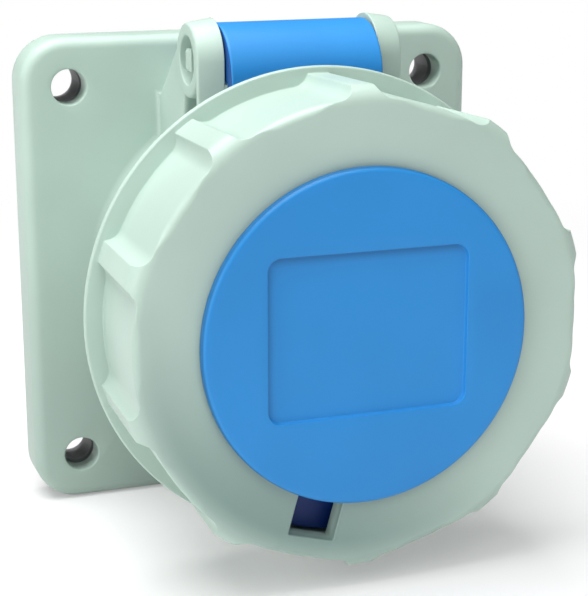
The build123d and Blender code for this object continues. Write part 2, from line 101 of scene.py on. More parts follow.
def rounded_path(corners: list[Triple], steps: int = 6) -> np.ndarray:
    """Round the corners of an open path.

    Each corner is replaced by the arc that touches both of its sides. The arc's centre lies on the corner's
    bisector, and its points run evenly in angle from one touching point to the other.

    Args:
        corners: Points as (u, v, radius). A radius of 0 keeps the corner.
        steps: Number of spans in each arc.

    Returns:
        The path's points, one row each.
    """
    points = np.array([corner[:2] for corner in corners], float)
    path = [points[:1]]
    for before, corner, after, radius in zip(points, points[1:], points[2:], [c[2] for c in corners[1:-1]]):
        if radius <= 0:
            path.append(corner[None])
            continue
        back, on = before - corner, after - corner
        back, on = back / np.linalg.norm(back), on / np.linalg.norm(on)
        half = math.acos(float(np.clip(back @ on, -1, 1))) / 2
        reach = radius / math.tan(half)
        middle = (back + on) / np.linalg.norm(back + on)
        centre = corner + middle * radius / math.sin(half)
        first = corner + back * reach - centre
        last = corner + on * reach - centre
        share = np.linspace(0, 1, steps + 1)[:, None]
        opening = math.pi - 2 * half
        arc = (np.sin((1 - share) * opening) * first + np.sin(share * opening) * last) / math.sin(opening)
        path.append(centre + arc)
    path.append(points[-1:])
    return np.concatenate(path)


def around(radius: np.ndarray, station: np.ndarray, clock: np.ndarray) -> np.ndarray:
    """Points about the socket's axis: x is radius times sine of the clock angle, z radius times its cosine."""
    radius, station, clock = np.broadcast_arrays(radius, station, clock)
    return np.stack([radius * np.sin(clock), -station, radius * np.cos(clock)], axis=-1)


def turned(path: Iterable, clocks: np.ndarray) -> list[np.ndarray]:
    """Rows of points about the axis: one row for each (radius, station) of a path, at every clock angle."""
    return [around(np.asarray(radius), np.asarray(station), clocks) for radius, station in path]


def facing(rows: np.ndarray, x: float = 0.0, z: float = 0.0) -> np.ndarray:
    """Points of (x, z, station) rows, moved by x and z."""
    return np.column_stack([rows[:, 0] + x, -rows[:, 2], rows[:, 1] + z])


def quarter(radius: float, steps: int) -> list[Pair]:
    """Quarter turn of a rounding: radius * (1 - cos a) and radius * (1 - sin a), for a from 0 to a quarter turn."""
    a = np.linspace(0, math.pi / 2, steps + 1)
    return list(zip(radius * (1 - np.cos(a)), radius * (1 - np.sin(a))))


@dataclass
class Surface:
    """A grid of points, in millimetres, that becomes part of a mesh."""

    points: np.ndarray
    closed_rows: bool = False
    closed_columns: bool = True

    def faces(self) -> np.ndarray:
        """Corner numbers of the quads between the points, one row of four for each quad.

        Returns:
            One row of corner numbers for each quad.
        """
        rows, columns = self.points.shape[:2]
        i, j = np.meshgrid(
            np.arange(rows if self.closed_rows else rows - 1),
            np.arange(columns if self.closed_columns else columns - 1),
            indexing="ij",
        )
        i_next, j_next = (i + 1) % rows, (j + 1) % columns
        corners = [i * columns + j, i_next * columns + j, i_next * columns + j_next, i * columns + j_next]
        return np.stack(corners, axis=-1).reshape(-1, 4)


def closed_outline(corners: list[Triple], steps: int = 6, spacing: float = 0.0) -> np.ndarray:
    """Closed outline with rounded corners.

    The path starts and ends in the middle of the last side. With a spacing, points are also laid along the
    straight stretches, by length along the outline.

    Args:
        corners: Points as (u, v, radius).
        steps: Number of spans in each rounded corner.
        spacing: Distance between points on straight stretches, or 0 for none.

    Returns:
        The outline's points, one row each, the first not repeated.
    """
    middle = tuple((np.array(corners[-1][:2]) + np.array(corners[0][:2])) / 2)
    path = rounded_path([(*middle, 0.0), *corners, (*middle, 0.0)], steps)
    if spacing > 0:
        travel = np.concatenate([[0], np.cumsum(np.linalg.norm(np.diff(path, axis=0), axis=1))])
        along = np.union1d(travel, np.arange(0, travel[-1], spacing))
        along = along[np.concatenate([[True], np.diff(along) > spacing * 0.1])]
        path = np.stack([np.interp(along, travel, path[:, 0]), np.interp(along, travel, path[:, 1])], axis=-1)
    return path[:-1]


def inset(outline: np.ndarray, depth: float) -> np.ndarray:
    """Move a closed outline inwards: each point goes along the mean normal of its two sides.

    Args:
        outline: Closed outline of (u, v) points.
        depth: How far the sides move; outwards below 0.

    Returns:
        The moved outline, point for point.
    """
    side = np.roll(outline, -1, axis=0) - outline
    side = side / np.linalg.norm(side, axis=1, keepdims=True)
    normal = np.stack([-side[:, 1], side[:, 0]], axis=-1)
    before = np.roll(normal, 1, axis=0)
    mean = normal + before
    mean = mean / np.maximum(1 + np.sum(normal * before, axis=1, keepdims=True), LEAST_SPREAD)
    u, v = outline.T
    area = 0.5 * np.sum(u * np.roll(v, -1) - v * np.roll(u, -1))
    return outline + mean * depth * np.sign(area)


def box_outline(u: Pair, v: Pair, radii: tuple[float, ...], steps: int = 4) -> np.ndarray:
    """Outline of a box, from its low corner along u first, with a radius for each corner."""
    spots = ((0, 0), (1, 0), (1, 1), (0, 1))
    return closed_outline([(u[i], v[j], radius) for (i, j), radius in zip(spots, radii)], steps)


def edge_levels(low: float, high: float, radii: Pair, steps: tuple[int, int]) -> list[Pair]:
    """Levels (height, inset) of a bar whose edges are rounded by a quarter turn at both ends.

    Args:
        low: Height where the bar starts.
        high: Height where it ends.
        radii: Radius of the rounding at each end.
        steps: Number of spans in each rounding.

    Returns:
        The levels, from low to high.
    """
    first = [(low + rise, run) for rise, run in quarter(radii[0], steps[0])]
    last = [(high - rise, run) for rise, run in quarter(radii[1], steps[1])]
    return first + last[::-1]


def bar(
    outline: np.ndarray,
    levels: list[Pair],
    place: Callable[[np.ndarray], np.ndarray],
    middle: Pair | None = None,
) -> Surface:
    """Closed bar: an outline stacked at levels (height, inset), with a fan at each end.

    Args:
        outline: Closed outline of (u, v) points that its own centre can see.
        levels: Height and inset of each copy of the outline.
        place: Turns (u, v, height) rows into (x, y, z) rows.
        middle: Point that sees the whole outline, where its own centre doesn't.

    Returns:
        The bar's surface, with the two end rows drawn together to a point.
    """
    centre = outline.mean(axis=0) if middle is None else np.array(middle)
    rows = [np.broadcast_to([*centre, levels[0][0]], (len(outline), 3))]
    rows += [np.column_stack([inset(outline, depth), np.full(len(outline), height)]) for height, depth in levels]
    rows.append(np.broadcast_to([*centre, levels[-1][0]], (len(outline), 3)))
    points = np.stack(rows)
    return Surface(place(points.reshape(-1, 3)).reshape(points.shape))


def sector(section: np.ndarray, clock: float, half_angle: float, columns: int = 14) -> Surface:
    """Closed block round the socket's axis: a closed (radius, station) section swept over a span of clock angles.

    Args:
        section: Closed section of (radius, station) points.
        clock: Clock angle of the block's middle.
        half_angle: Half of the span, in degrees.
        columns: Number of sections over the span.

    Returns:
        The block's surface, with its two ends drawn together to a point.
    """
    share = np.concatenate([[-1.0], np.linspace(-1, 1, columns), [1.0]])
    angle = np.radians(clock + half_angle * share)
    shrink = np.ones(len(share))
    shrink[[0, -1]] = 0.0
    centre = section.mean(axis=0)
    swept = centre + (section[:, None, :] - centre) * shrink[None, :, None]
    return Surface(around(swept[..., 0], swept[..., 1], angle[None, :]), closed_rows=True, closed_columns=False)


def make_piece(name: str, surfaces: list[Surface], sharp_degrees: float = SHARP_DEGREES) -> bpy.types.Object:
    """Make one mesh object of several surfaces, whose points are laid end to end.

    Args:
        name: Name of the object.
        surfaces: The surfaces to join.
        sharp_degrees: Angle between faces above which an edge shows.

    Returns:
        The new object, at the origin.
    """
    starts = np.cumsum([0] + [s.points.shape[0] * s.points.shape[1] for s in surfaces[:-1]])
    points = np.concatenate([s.points.reshape(-1, 3) for s in surfaces]) * MM
    faces = np.concatenate([s.faces() + start for s, start in zip(surfaces, starts)])
    mesh = bpy.data.meshes.new(name)
    mesh.from_pydata(points, [], faces.tolist())
    piece = bpy.data.objects.new(name, mesh)
    bpy.context.scene.collection.objects.link(piece)
    clean_mesh(mesh, WELD, sharp_degrees)
    return piece


def clean_mesh(mesh: bpy.types.Mesh, weld: float, sharp_degrees: float) -> None:
    """Merge points closer than the weld distance, turn the faces outwards and shade them smooth up to an angle.

    Args:
        mesh: The mesh to change.
        weld: Distance in millimetres.
        sharp_degrees: Angle between faces above which an edge shows.
    """
    work = bmesh.new()
    work.from_mesh(mesh)
    bmesh.ops.remove_doubles(work, verts=work.verts, dist=weld * MM)
    bmesh.ops.recalc_face_normals(work, faces=work.faces)
    work.to_mesh(mesh)
    work.free()
    mesh.shade_smooth()
    mesh.set_sharp_from_angle(angle=math.radians(sharp_degrees))
    mesh.update()


def carve(piece: bpy.types.Object, cutter: bpy.types.Object, sharp_degrees: float = SHARP_DEGREES) -> None:
    """Cut a closed piece out of another and remove it.

    Args:
        piece: The piece that stays.
        cutter: The piece that is used up.
        sharp_degrees: Angle between faces above which an edge shows.
    """
    cut = piece.modifiers.new("cut", "BOOLEAN")
    cut.operation, cut.solver, cut.object = "DIFFERENCE", "EXACT", cutter
    bpy.context.view_layer.update()
    result = bpy.data.meshes.new_from_object(piece.evaluated_get(bpy.context.evaluated_depsgraph_get()))
    piece.modifiers.clear()
    old = piece.data
    piece.data = result
    result.name = piece.name
    bpy.data.meshes.remove(old)
    bpy.data.objects.remove(cutter)
    clean_mesh(result, CUT_WELD, sharp_degrees)


def add_parts(piece: bpy.types.Object, other: bpy.types.Object) -> None:
    """Put another piece's closed parts beside those of a piece, and remove it.

    Args:
        piece: The piece that stays.
        other: The piece that is used up.
    """
    work = bmesh.new()
    work.from_mesh(piece.data)
    work.from_mesh(other.data)
    work.to_mesh(piece.data)
    work.free()
    bpy.data.objects.remove(other)
    clean_mesh(piece.data, CUT_WELD, SHARP_DEGREES)


# ---------------------------------------------------------------- finishes


def feed(node: bpy.types.Node, name: str | int, value: object) -> None:
    """Link a socket to a node's input, or set the input's value.

    Args:
        node: The node.
        name: The input's name or number.
        value: A socket or a value.
    """
    if isinstance(value, bpy.types.NodeSocket):
        node.id_data.links.new(value, node.inputs[name])
    else:
        node.inputs[name].default_value = value


def add_node(tree: Tree, kind: str, feeds: dict[str | int, object], **settings: object) -> bpy.types.Node:
    """Add a shader node to a tree.

    Args:
        tree: Tree of a material, a world or a group.
        kind: The node's type, without the prefix that all of them share.
        feeds: What goes into its inputs: a socket is linked, anything else is the input's value.
        settings: Values of the node's own properties.

    Returns:
        The new node.
    """
    node = tree.nodes.new("ShaderNode" + kind)
    for name, value in settings.items():
        setattr(node, name, value)
    for name, value in feeds.items():
        feed(node, name, value)
    return node


def add_group(tree: Tree, group: Tree, **settings: float) -> bpy.types.Node:
    """Add a node group to a tree and feed it with object coordinates."""
    place = add_node(tree, "TexCoord", {})
    return add_node(tree, "Group", {"Vector": place.outputs["Object"], **settings}, node_tree=group)


class GroupSheet:
    """A shader node group in the making: object coordinates and numbers in, numbers out."""

    def __init__(self, name: str, outputs: tuple[str, ...], **inputs: float) -> None:
        """Make an empty group with a Vector input, named number inputs and number outputs.

        Args:
            name: Name of the group.
            outputs: Names of its outputs.
            inputs: Its number inputs, each with its usual value.
        """
        self.tree = bpy.data.node_groups.new(name, "ShaderNodeTree")
        sockets = self.tree.interface
        sockets.new_socket("Vector", in_out="INPUT", socket_type="NodeSocketVector")
        for label, value in inputs.items():
            sockets.new_socket(label, in_out="INPUT", socket_type="NodeSocketFloat").default_value = value
        for label in outputs:
            sockets.new_socket(label, in_out="OUTPUT", socket_type="NodeSocketFloat")
        self.given = self.tree.nodes.new("NodeGroupInput").outputs
        self.result = self.tree.nodes.new("NodeGroupOutput")

    def math(self, operation: str, a: object, b: object = 0.0) -> bpy.types.NodeSocket:
        """Result of a math node."""
        return add_node(self.tree, "Math", {0: a, 1: b}, operation=operation).outputs[0]

    def times(self, first: object, *others: object) -> bpy.types.NodeSocket:
        """Product of several values.

        Args:
            first: A socket or a number.
            others: The other factors.

        Returns:
            The product's socket.
        """
        for other in others:
            first = self.math("MULTIPLY", first, other)
        return first

    def noise(self, scale: object, detail: float, roughness: float) -> bpy.types.NodeSocket:
        """Value of a noise texture."""
        feeds = {"Vector": self.given["Vector"], "Scale": scale, "Detail": detail, "Roughness": roughness}
        return add_node(self.tree, "TexNoise", feeds).outputs["Fac"]

    def step(self, value: object, edges: Pair, low: float = 0.0, high: float = 1.0) -> bpy.types.NodeSocket:
        """Smooth step: the low number up to the first edge and the high one from the second."""
        feeds = {"Value": value, "From Min": edges[0], "From Max": edges[1], "To Min": low, "To Max": high}
        return add_node(self.tree, "MapRange", feeds, interpolation_type="SMOOTHSTEP").outputs["Result"]

    def axes(self) -> list[bpy.types.NodeSocket]:
        """Distances to the right, into the panel, upwards and from the socket's axis.

        Returns:
            The four sockets.
        """
        across, along, up = add_node(self.tree, "SeparateXYZ", {0: self.given["Vector"]}).outputs
        squares = self.math("ADD", self.times(across, across), self.times(up, up))
        return [across, along, up, self.math("SQRT", squares)]

    def give(self, **outputs: bpy.types.NodeSocket) -> Tree:
        """Link the group's outputs and return it.

        Args:
            outputs: A socket for each named output.

        Returns:
            The finished group.
        """
        for label, socket in outputs.items():
            feed(self.result, label, socket)
        return self.tree


@dataclass(frozen=True)
class MaskEdges:
    """Where the masks rise from 0 to 1, each as (start, end) in metres of the model's frame."""

    plate_radius: Pair = (0.019, 0.0195)
    plate_front: Pair = (0.0525, 0.053)
    hood_side: Pair = (0.01168, 0.01174)
    hood_height: Pair = (0.026, 0.0265)
    hood_share: float = 0.8
    face_lean: Pair = (0.006, 0.034)
    face_rim: Pair = (0.0295, 0.035)
    face_front: Pair = (0.0575, 0.059)
    disc_rim: Pair = (0.0237, 0.02395)
    recess_top: Pair = (0.0108, 0.0125)
    recess_left: Pair = (0.0137, 0.01475)
    recess_shares: Pair = (0.8, 0.6)
    recess_floor: Pair = (-0.0605, -0.0602)
    recess_inside: Pair = (-0.0215, -0.0205)
    flange_drop: Pair = (-0.026, 0.028)
    flange_front: Pair = (-0.0135, -0.0115)
    floor_far: Pair = (0.10, 0.24)
    floor_least: float = 0.3
    shadow_at: Triple = (0.03, 0.0, -0.0376)


class NodeTable:
    """Shared shader node groups, each built on its first use."""

    edges = MaskEdges()

    @cached_property
    def mould_skin(self) -> Tree:
        """Skin of a moulded part.

        Height is a fine spark grain plus a slow waviness of the wall. Drift is a slow change over the part, for
        colour, and Gloss is the same drift with the grain in it, for roughness.

        Returns:
            The finished group.
        """
        sheet = GroupSheet("mould_skin", ("Height", "Drift", "Gloss"), Grain=2200.0, Waviness=60.0)
        grain = sheet.noise(sheet.given["Grain"], 3.0, 0.6)
        wave = sheet.noise(sheet.given["Waviness"], 1.5, 0.45)
        height = sheet.math("ADD", grain, sheet.times(wave, 0.5))
        return sheet.give(Height=height, Drift=wave, Gloss=sheet.times(sheet.math("ADD", grain, wave), 0.5))

    @cached_property
    def turned_metal(self) -> Tree:
        """Skin of a turned or plated metal part.

        Height is a set of fine rings across the part's length, broken up by noise. Tarnish is a slow cloudy mask.

        Returns:
            The finished group.
        """
        sheet = GroupSheet("turned_metal", ("Height", "Tarnish"), Rings=900.0, Cloud=220.0)
        vector, scale = sheet.given["Vector"], sheet.given["Rings"]
        feeds = {"Vector": vector, "Scale": scale, "Distortion": 1.5, "Detail": 2.0}
        rings = add_node(sheet.tree, "TexWave", feeds, bands_direction="Y")
        return sheet.give(Height=rings.outputs["Fac"], Tarnish=sheet.noise(sheet.given["Cloud"], 4.0, 0.55))

    @cached_property
    def lid_wells(self) -> Tree:
        """Mask of painted shade: 1 on the lid's plate behind the ring's window and high on the two ends of the hood,
        where shade is painted dark.

        The plate's part lies beyond a radius, in front of the lid's wall. The hood's part lies beyond a distance to
        either side, high up by the hinge.

        Returns:
            The finished group.
        """
        sheet, edges = GroupSheet("lid_wells", ("Wells",)), self.edges
        across, along, up, radius = sheet.axes()
        front = sheet.times(along, -1.0)
        plate = sheet.times(sheet.step(radius, edges.plate_radius), sheet.step(front, edges.plate_front))
        side = sheet.step(sheet.math("ABSOLUTE", across), edges.hood_side)
        ends = sheet.times(side, sheet.step(up, edges.hood_height), edges.hood_share)
        return sheet.give(Wells=sheet.math("MAXIMUM", plate, ends))

    @cached_property
    def face_shade(self) -> Tree:
        """Shade rises on the ring's face towards its lower left and the disc.

        Returns:
            The finished group.
        """
        sheet, edges = GroupSheet("face_shade", ("Shade",)), self.edges
        across, along, up, radius = sheet.axes()
        lean = sheet.math("ADD", sheet.times(across, -0.5), sheet.times(up, -0.86))
        inner = sheet.math("SUBTRACT", 1.0, sheet.step(radius, edges.face_rim))
        front = sheet.step(sheet.times(along, -1.0), edges.face_front)
        return sheet.give(Shade=sheet.times(sheet.step(lean, edges.face_lean), inner, front))

    @cached_property
    def disc_wall(self) -> Tree:
        """Mask of painted shade: 1 on the front disc's outer wall, and rising on the recess's floor under its top and
        left edges as a painted shadow.

        Returns:
            The finished group.
        """
        sheet, edges = GroupSheet("disc_wall", ("Wall",)), self.edges
        across, along, up, radius = sheet.axes()
        top_share, left_share = edges.recess_shares
        top = sheet.step(up, edges.recess_top, high=top_share)
        left = sheet.step(sheet.times(across, -1.0), edges.recess_left, high=left_share)
        floor = sheet.step(along, edges.recess_floor)
        inside = sheet.step(sheet.times(radius, -1.0), edges.recess_inside)
        shade = sheet.times(sheet.math("MAXIMUM", top, left), floor, inside)
        return sheet.give(Wall=sheet.math("MAXIMUM", sheet.step(radius, edges.disc_rim), shade))

    @cached_property
    def flange_shade(self) -> Tree:
        """Shade is 0 at the top of the flange and rises slowly towards its foot.

        Returns:
            The finished group.
        """
        sheet, edges = GroupSheet("flange_shade", ("Shade",)), self.edges
        along, up = sheet.axes()[1:3]
        low = sheet.step(sheet.times(up, -1.0), edges.flange_drop)
        return sheet.give(Shade=sheet.times(low, sheet.step(along, edges.flange_front)))

    @cached_property
    def far_off(self) -> Tree:
        """Far is low round the object, where its shadow lies, and rises to 1 away from it.

        Returns:
            The finished group.
        """
        sheet, edges = GroupSheet("far_off", ("Far",)), self.edges
        feeds = {0: sheet.given["Vector"], 1: edges.shadow_at}
        gap = add_node(sheet.tree, "VectorMath", feeds, operation="DISTANCE")
        return sheet.give(Far=sheet.step(gap.outputs["Value"], edges.floor_far, low=edges.floor_least))


def scaled(colour: Triple, share: float) -> Triple:
    """Make a colour lighter or darker by a share."""
    return tuple(min(1.0, channel * share) for channel in colour)


@dataclass(frozen=True)
class Finish:
    """What every finish has: a name, a colour and a way to its own material."""

    name: str
    colour: Triple
    roughness: float

    def _start(self, group: Tree, **settings: float) -> tuple[bpy.types.Material, bpy.types.Node, object]:
        """Make a material and return its shader, with the outputs of its skin's group.

        Args:
            group: Group of the finish's skin.
            settings: Values of the group's inputs.

        Returns:
            The material, its shader and the group's outputs.
        """
        material = bpy.data.materials.new(self.name)
        material.use_nodes = True
        shader = material.node_tree.nodes["Principled BSDF"]
        shader.inputs["Base Color"].default_value = (*self.colour, 1.0)
        shader.inputs["Roughness"].default_value = self.roughness
        return material, shader, add_group(material.node_tree, group, **settings).outputs

    @staticmethod
    def _tint(shader: bpy.types.Node, mask: object, low: Triple, high: Triple, edges: Pair = (0.35, 0.65)) -> None:
        """Drive the base colour from a mask, from one colour to another.

        Args:
            shader: The material's shader.
            mask: Socket of the mask.
            low: Colour up to the first edge.
            high: Colour from the second edge.
            edges: Values of the mask where the change starts and ends.
        """
        ramp = add_node(shader.id_data, "ValToRGB", {"Fac": mask})
        for stop, position, colour in zip(ramp.color_ramp.elements, edges, (low, high)):
            stop.position, stop.color = position, (*colour, 1.0)
        feed(shader, "Base Color", ramp.outputs["Color"])

    @staticmethod
    def _gloss(shader: bpy.types.Node, mask: object, low: float, high: float) -> None:
        """Drive the roughness from a mask, between two values."""
        feeds = {"Value": mask, "From Min": 0.3, "From Max": 0.7, "To Min": low, "To Max": high}
        feed(shader, "Roughness", add_node(shader.id_data, "MapRange", feeds).outputs["Result"])

    @staticmethod
    def _bump(shader: bpy.types.Node, height: object, strength: float, depth: float) -> None:
        """Raise the surface by a height mask, with its depth in metres."""
        bump = add_node(shader.id_data, "Bump", {"Height": height, "Strength": strength, "Distance": depth})
        feed(shader, "Normal", bump.outputs["Normal"])


@dataclass(frozen=True)
class MouldedPlastic(Finish):
    """Satin moulded plastic: spark grain, a slow colour drift and a slightly uneven gloss."""

    grain_depth: float = 0.00001
    drift: float = 0.03
    gloss_spread: float = 0.05
    specular: float = 0.5

    def build(self, table: NodeTable) -> bpy.types.Material:
        """Make the material.

        Args:
            table: The shared node groups.

        Returns:
            The new material.
        """
        material, shader, skin = self._start(table.mould_skin)
        feed(shader, "Specular IOR Level", self.specular)
        self._tint(shader, skin["Drift"], scaled(self.colour, 1 - self.drift), scaled(self.colour, 1 + self.drift))
        self._gloss(shader, skin["Gloss"], self.roughness - self.gloss_spread, self.roughness + self.gloss_spread)
        self._bump(shader, skin["Height"], 0.35, self.grain_depth)
        return material


@dataclass(frozen=True)
class ShadedPlastic(MouldedPlastic):
    """Moulded plastic with painted shade: a darker second colour where a mask of the node table says so."""

    mask: Mask = Mask.LID_WELLS
    # default second colour: the dark navy painted shade of the lid
    second: Triple = (0.003, 0.03, 0.2)

    def build(self, table: NodeTable) -> bpy.types.Material:
        """Make the material.

        Args:
            table: The shared node groups.

        Returns:
            The new material.
        """
        material = super().build(table)
        tree = material.node_tree
        shader = tree.nodes["Principled BSDF"]
        plain = shader.inputs["Base Color"].links[0].from_socket
        mask = add_group(tree, getattr(table, self.mask.value)).outputs[0]
        mix = add_node(tree, "MixRGB", {"Fac": mask, "Color1": plain, "Color2": (*self.second, 1.0)})
        feed(shader, "Base Color", mix.outputs["Color"])
        return material


@dataclass(frozen=True)
class MouldedRubber(Finish):
    """Matte rubber: a coarser skin, a dusty bloom and hardly any gloss."""

    bloom: float = 1.35
    specular: float = 0.35
    gloss: Pair = (-0.06, 0.08)
    grain_depth: float = 0.00003

    def build(self, table: NodeTable) -> bpy.types.Material:
        """Make the material.

        Args:
            table: The shared node groups.

        Returns:
            The new material.
        """
        material, shader, skin = self._start(table.mould_skin, Grain=1300.0, Waviness=140.0)
        feed(shader, "Specular IOR Level", self.specular)
        self._tint(shader, skin["Gloss"], self.colour, scaled(self.colour, self.bloom))
        self._gloss(shader, skin["Gloss"], *(self.roughness + change for change in self.gloss))
        self._bump(shader, skin["Height"], 0.5, self.grain_depth)
        return material


@dataclass(frozen=True)
class TurnedMetal(Finish):
    """Turned or plated metal: fine rings and a cloudy tarnish."""

    tarnish: Triple = (0.5, 0.45, 0.35)
    gloss: Pair = (0.1, -0.05)
    ring_depth: float = 0.00001

    def build(self, table: NodeTable) -> bpy.types.Material:
        """Make the material.

        Args:
            table: The shared node groups.

        Returns:
            The new material.
        """
        material, shader, skin = self._start(table.turned_metal)
        feed(shader, "Metallic", 1.0)
        self._tint(shader, skin["Tarnish"], self.tarnish, self.colour, (0.2, 0.55))
        self._gloss(shader, skin["Tarnish"], *(self.roughness + change for change in self.gloss))
        self._bump(shader, skin["Height"], 0.3, self.ring_depth)
        return material


@dataclass
class FinishRack:
    """All finishes of the socket, by the record's material slots."""

    table: NodeTable = field(default_factory=NodeTable)
    made: dict[str, bpy.types.Material] = field(default_factory=dict)
    finishes: tuple[Finish, ...] = (
        # housing_plastic and ring_plastic carry painted shade: the flange darker towards its foot, the ring's face
        # darker towards its lower left and the disc
        ShadedPlastic("housing_plastic", GREY_GREEN, 0.42, mask=Mask.FLANGE_SHADE, second=scaled(GREY_GREEN, 0.78)),
        ShadedPlastic("ring_plastic", GREY_GREEN, 0.42, mask=Mask.FACE_SHADE, second=(0.18, 0.275, 0.25)),
        MouldedPlastic("pin_plastic", GREY_GREEN, 0.4),
        # lid_plastic carries painted shade: dark navy on the plate behind the window and on the hood's ends
        ShadedPlastic("lid_plastic", SAFETY_BLUE, 0.42, specular=0.35),
        # disc_plastic carries painted shade on its outer wall and a painted shadow in the recess
        ShadedPlastic(
            "disc_plastic", SAFETY_BLUE, 0.45, specular=0.35, mask=Mask.DISC_WALL, second=scaled(SAFETY_BLUE, 0.62)
        ),
        MouldedPlastic("carrier_plastic", (0.04, 0.2, 0.52), 0.45),
        MouldedRubber("lid_rubber", (0.045, 0.045, 0.048), 0.7),
        MouldedRubber("flange_rubber", (0.3, 0.3, 0.31), 0.55, bloom=1.15),
        MouldedRubber("seal_rubber", (0.04, 0.04, 0.042), 0.7),
        TurnedMetal("contact_brass", (0.8, 0.62, 0.33), 0.28, tarnish=(0.62, 0.44, 0.2)),
        TurnedMetal("clip_steel", (0.6, 0.6, 0.6), 0.35, tarnish=(0.45, 0.45, 0.46)),
        TurnedMetal("screw_steel", (0.66, 0.66, 0.63), 0.3, tarnish=(0.5, 0.5, 0.46)),
    )

    def get(self, slot: str) -> bpy.types.Material:
        """Material of a slot, made on first use.

        Args:
            slot: Name of the record's material slot.

        Returns:
            Its material.
        """
        if slot not in self.made:
            finish = next(finish for finish in self.finishes if finish.name == slot)
            self.made[slot] = finish.build(self.table)
        return self.made[slot]

    def place(self, piece: bpy.types.Object, slot: str, body: Body, stands_for: tuple[str, ...]) -> None:
        """Give a new piece its finish and body, and let it stand for CAD nodes.

        Args:
            piece: The new piece.
            slot: Its material slot.
            body: The body it rides on.
            stands_for: Names of the CAD nodes it replaces.
        """
        piece.data.materials.clear()
        piece.data.materials.append(self.get(slot))
        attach(piece, body.value)
        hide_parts(*stands_for)
        count = len(piece.data.polygons)
        log.info("%s: %d faces, rides on %s, stands for %s", piece.name, count, body.value, stands_for)


# ---------------------------------------------------------------- sub-assemblies


@dataclass(frozen=True)
class GripLands:
    """Outside of the grip ring round the clock: flat lands with hollow flanks between wide flutes."""

    count: int = 10
    half_top: float = 1.6
    flank: float = 2.4
    height: float = 1.7
    crest_r: float = 0.22
    pitch_r: float = 33.6
    softening: float = 4.5

    def section(self) -> tuple[np.ndarray, np.ndarray, np.ndarray]:
        """Clock angles over one turn, with the height over the flutes and the softness of the front edge at each.

        With t the distance from a land's middle, the flank is an arc of radius R = (flank^2 + height^2) / (2 height)
        that leaves the flute level, h = R (1 - cos a) and t = half foot - R sin a. It ends where a crest arc of a
        small radius turns it into the flat top. The other side is its mirror image. The softness is 0 on the land
        and rises to 1 in the flute as 3 u^2 - 2 u^3, with u the distance from the flank's foot over the softening.

        Returns:
            The clock angles in radians, the heights in millimetres and the softness from 0 to 1.
        """
        radius = (self.flank**2 + self.height**2) / (2 * self.height)
        last = math.acos(1 - self.height / (radius + self.crest_r))
        half_foot = self.half_top + self.flank
        half_pitch = math.pi * self.pitch_r / self.count
        a = np.linspace(0, last, 11)
        b = np.linspace(last, 0, 5)[1:]
        crest_t = half_foot - (radius + self.crest_r) * math.sin(last)
        floor_t = np.linspace(half_pitch, half_foot, 17)[1:-1]
        top_t = np.linspace(crest_t, 0, 5)[1:-1]
        t = np.concatenate([floor_t, half_foot - radius * np.sin(a), crest_t + self.crest_r * np.sin(b), top_t])
        h = np.concatenate([
            np.zeros_like(floor_t),
            radius * (1 - np.cos(a)),
            self.height - self.crest_r * (1 - np.cos(b)),
            np.full_like(top_t, self.height),
        ])
        t = np.concatenate([[half_pitch], t, [0.0], -t[::-1]])
        h = np.concatenate([[0.0], h, [self.height], h[::-1]])
        u = np.clip((np.abs(t) - half_foot) / self.softening, 0.0, 1.0)
        turn = np.arange(self.count)[:, None] * TAU / self.count
        clocks = (turn - t[None, :] / self.pitch_r).ravel()
        return clocks, np.tile(h, self.count), np.tile(u * u * (3 - 2 * u), self.count)


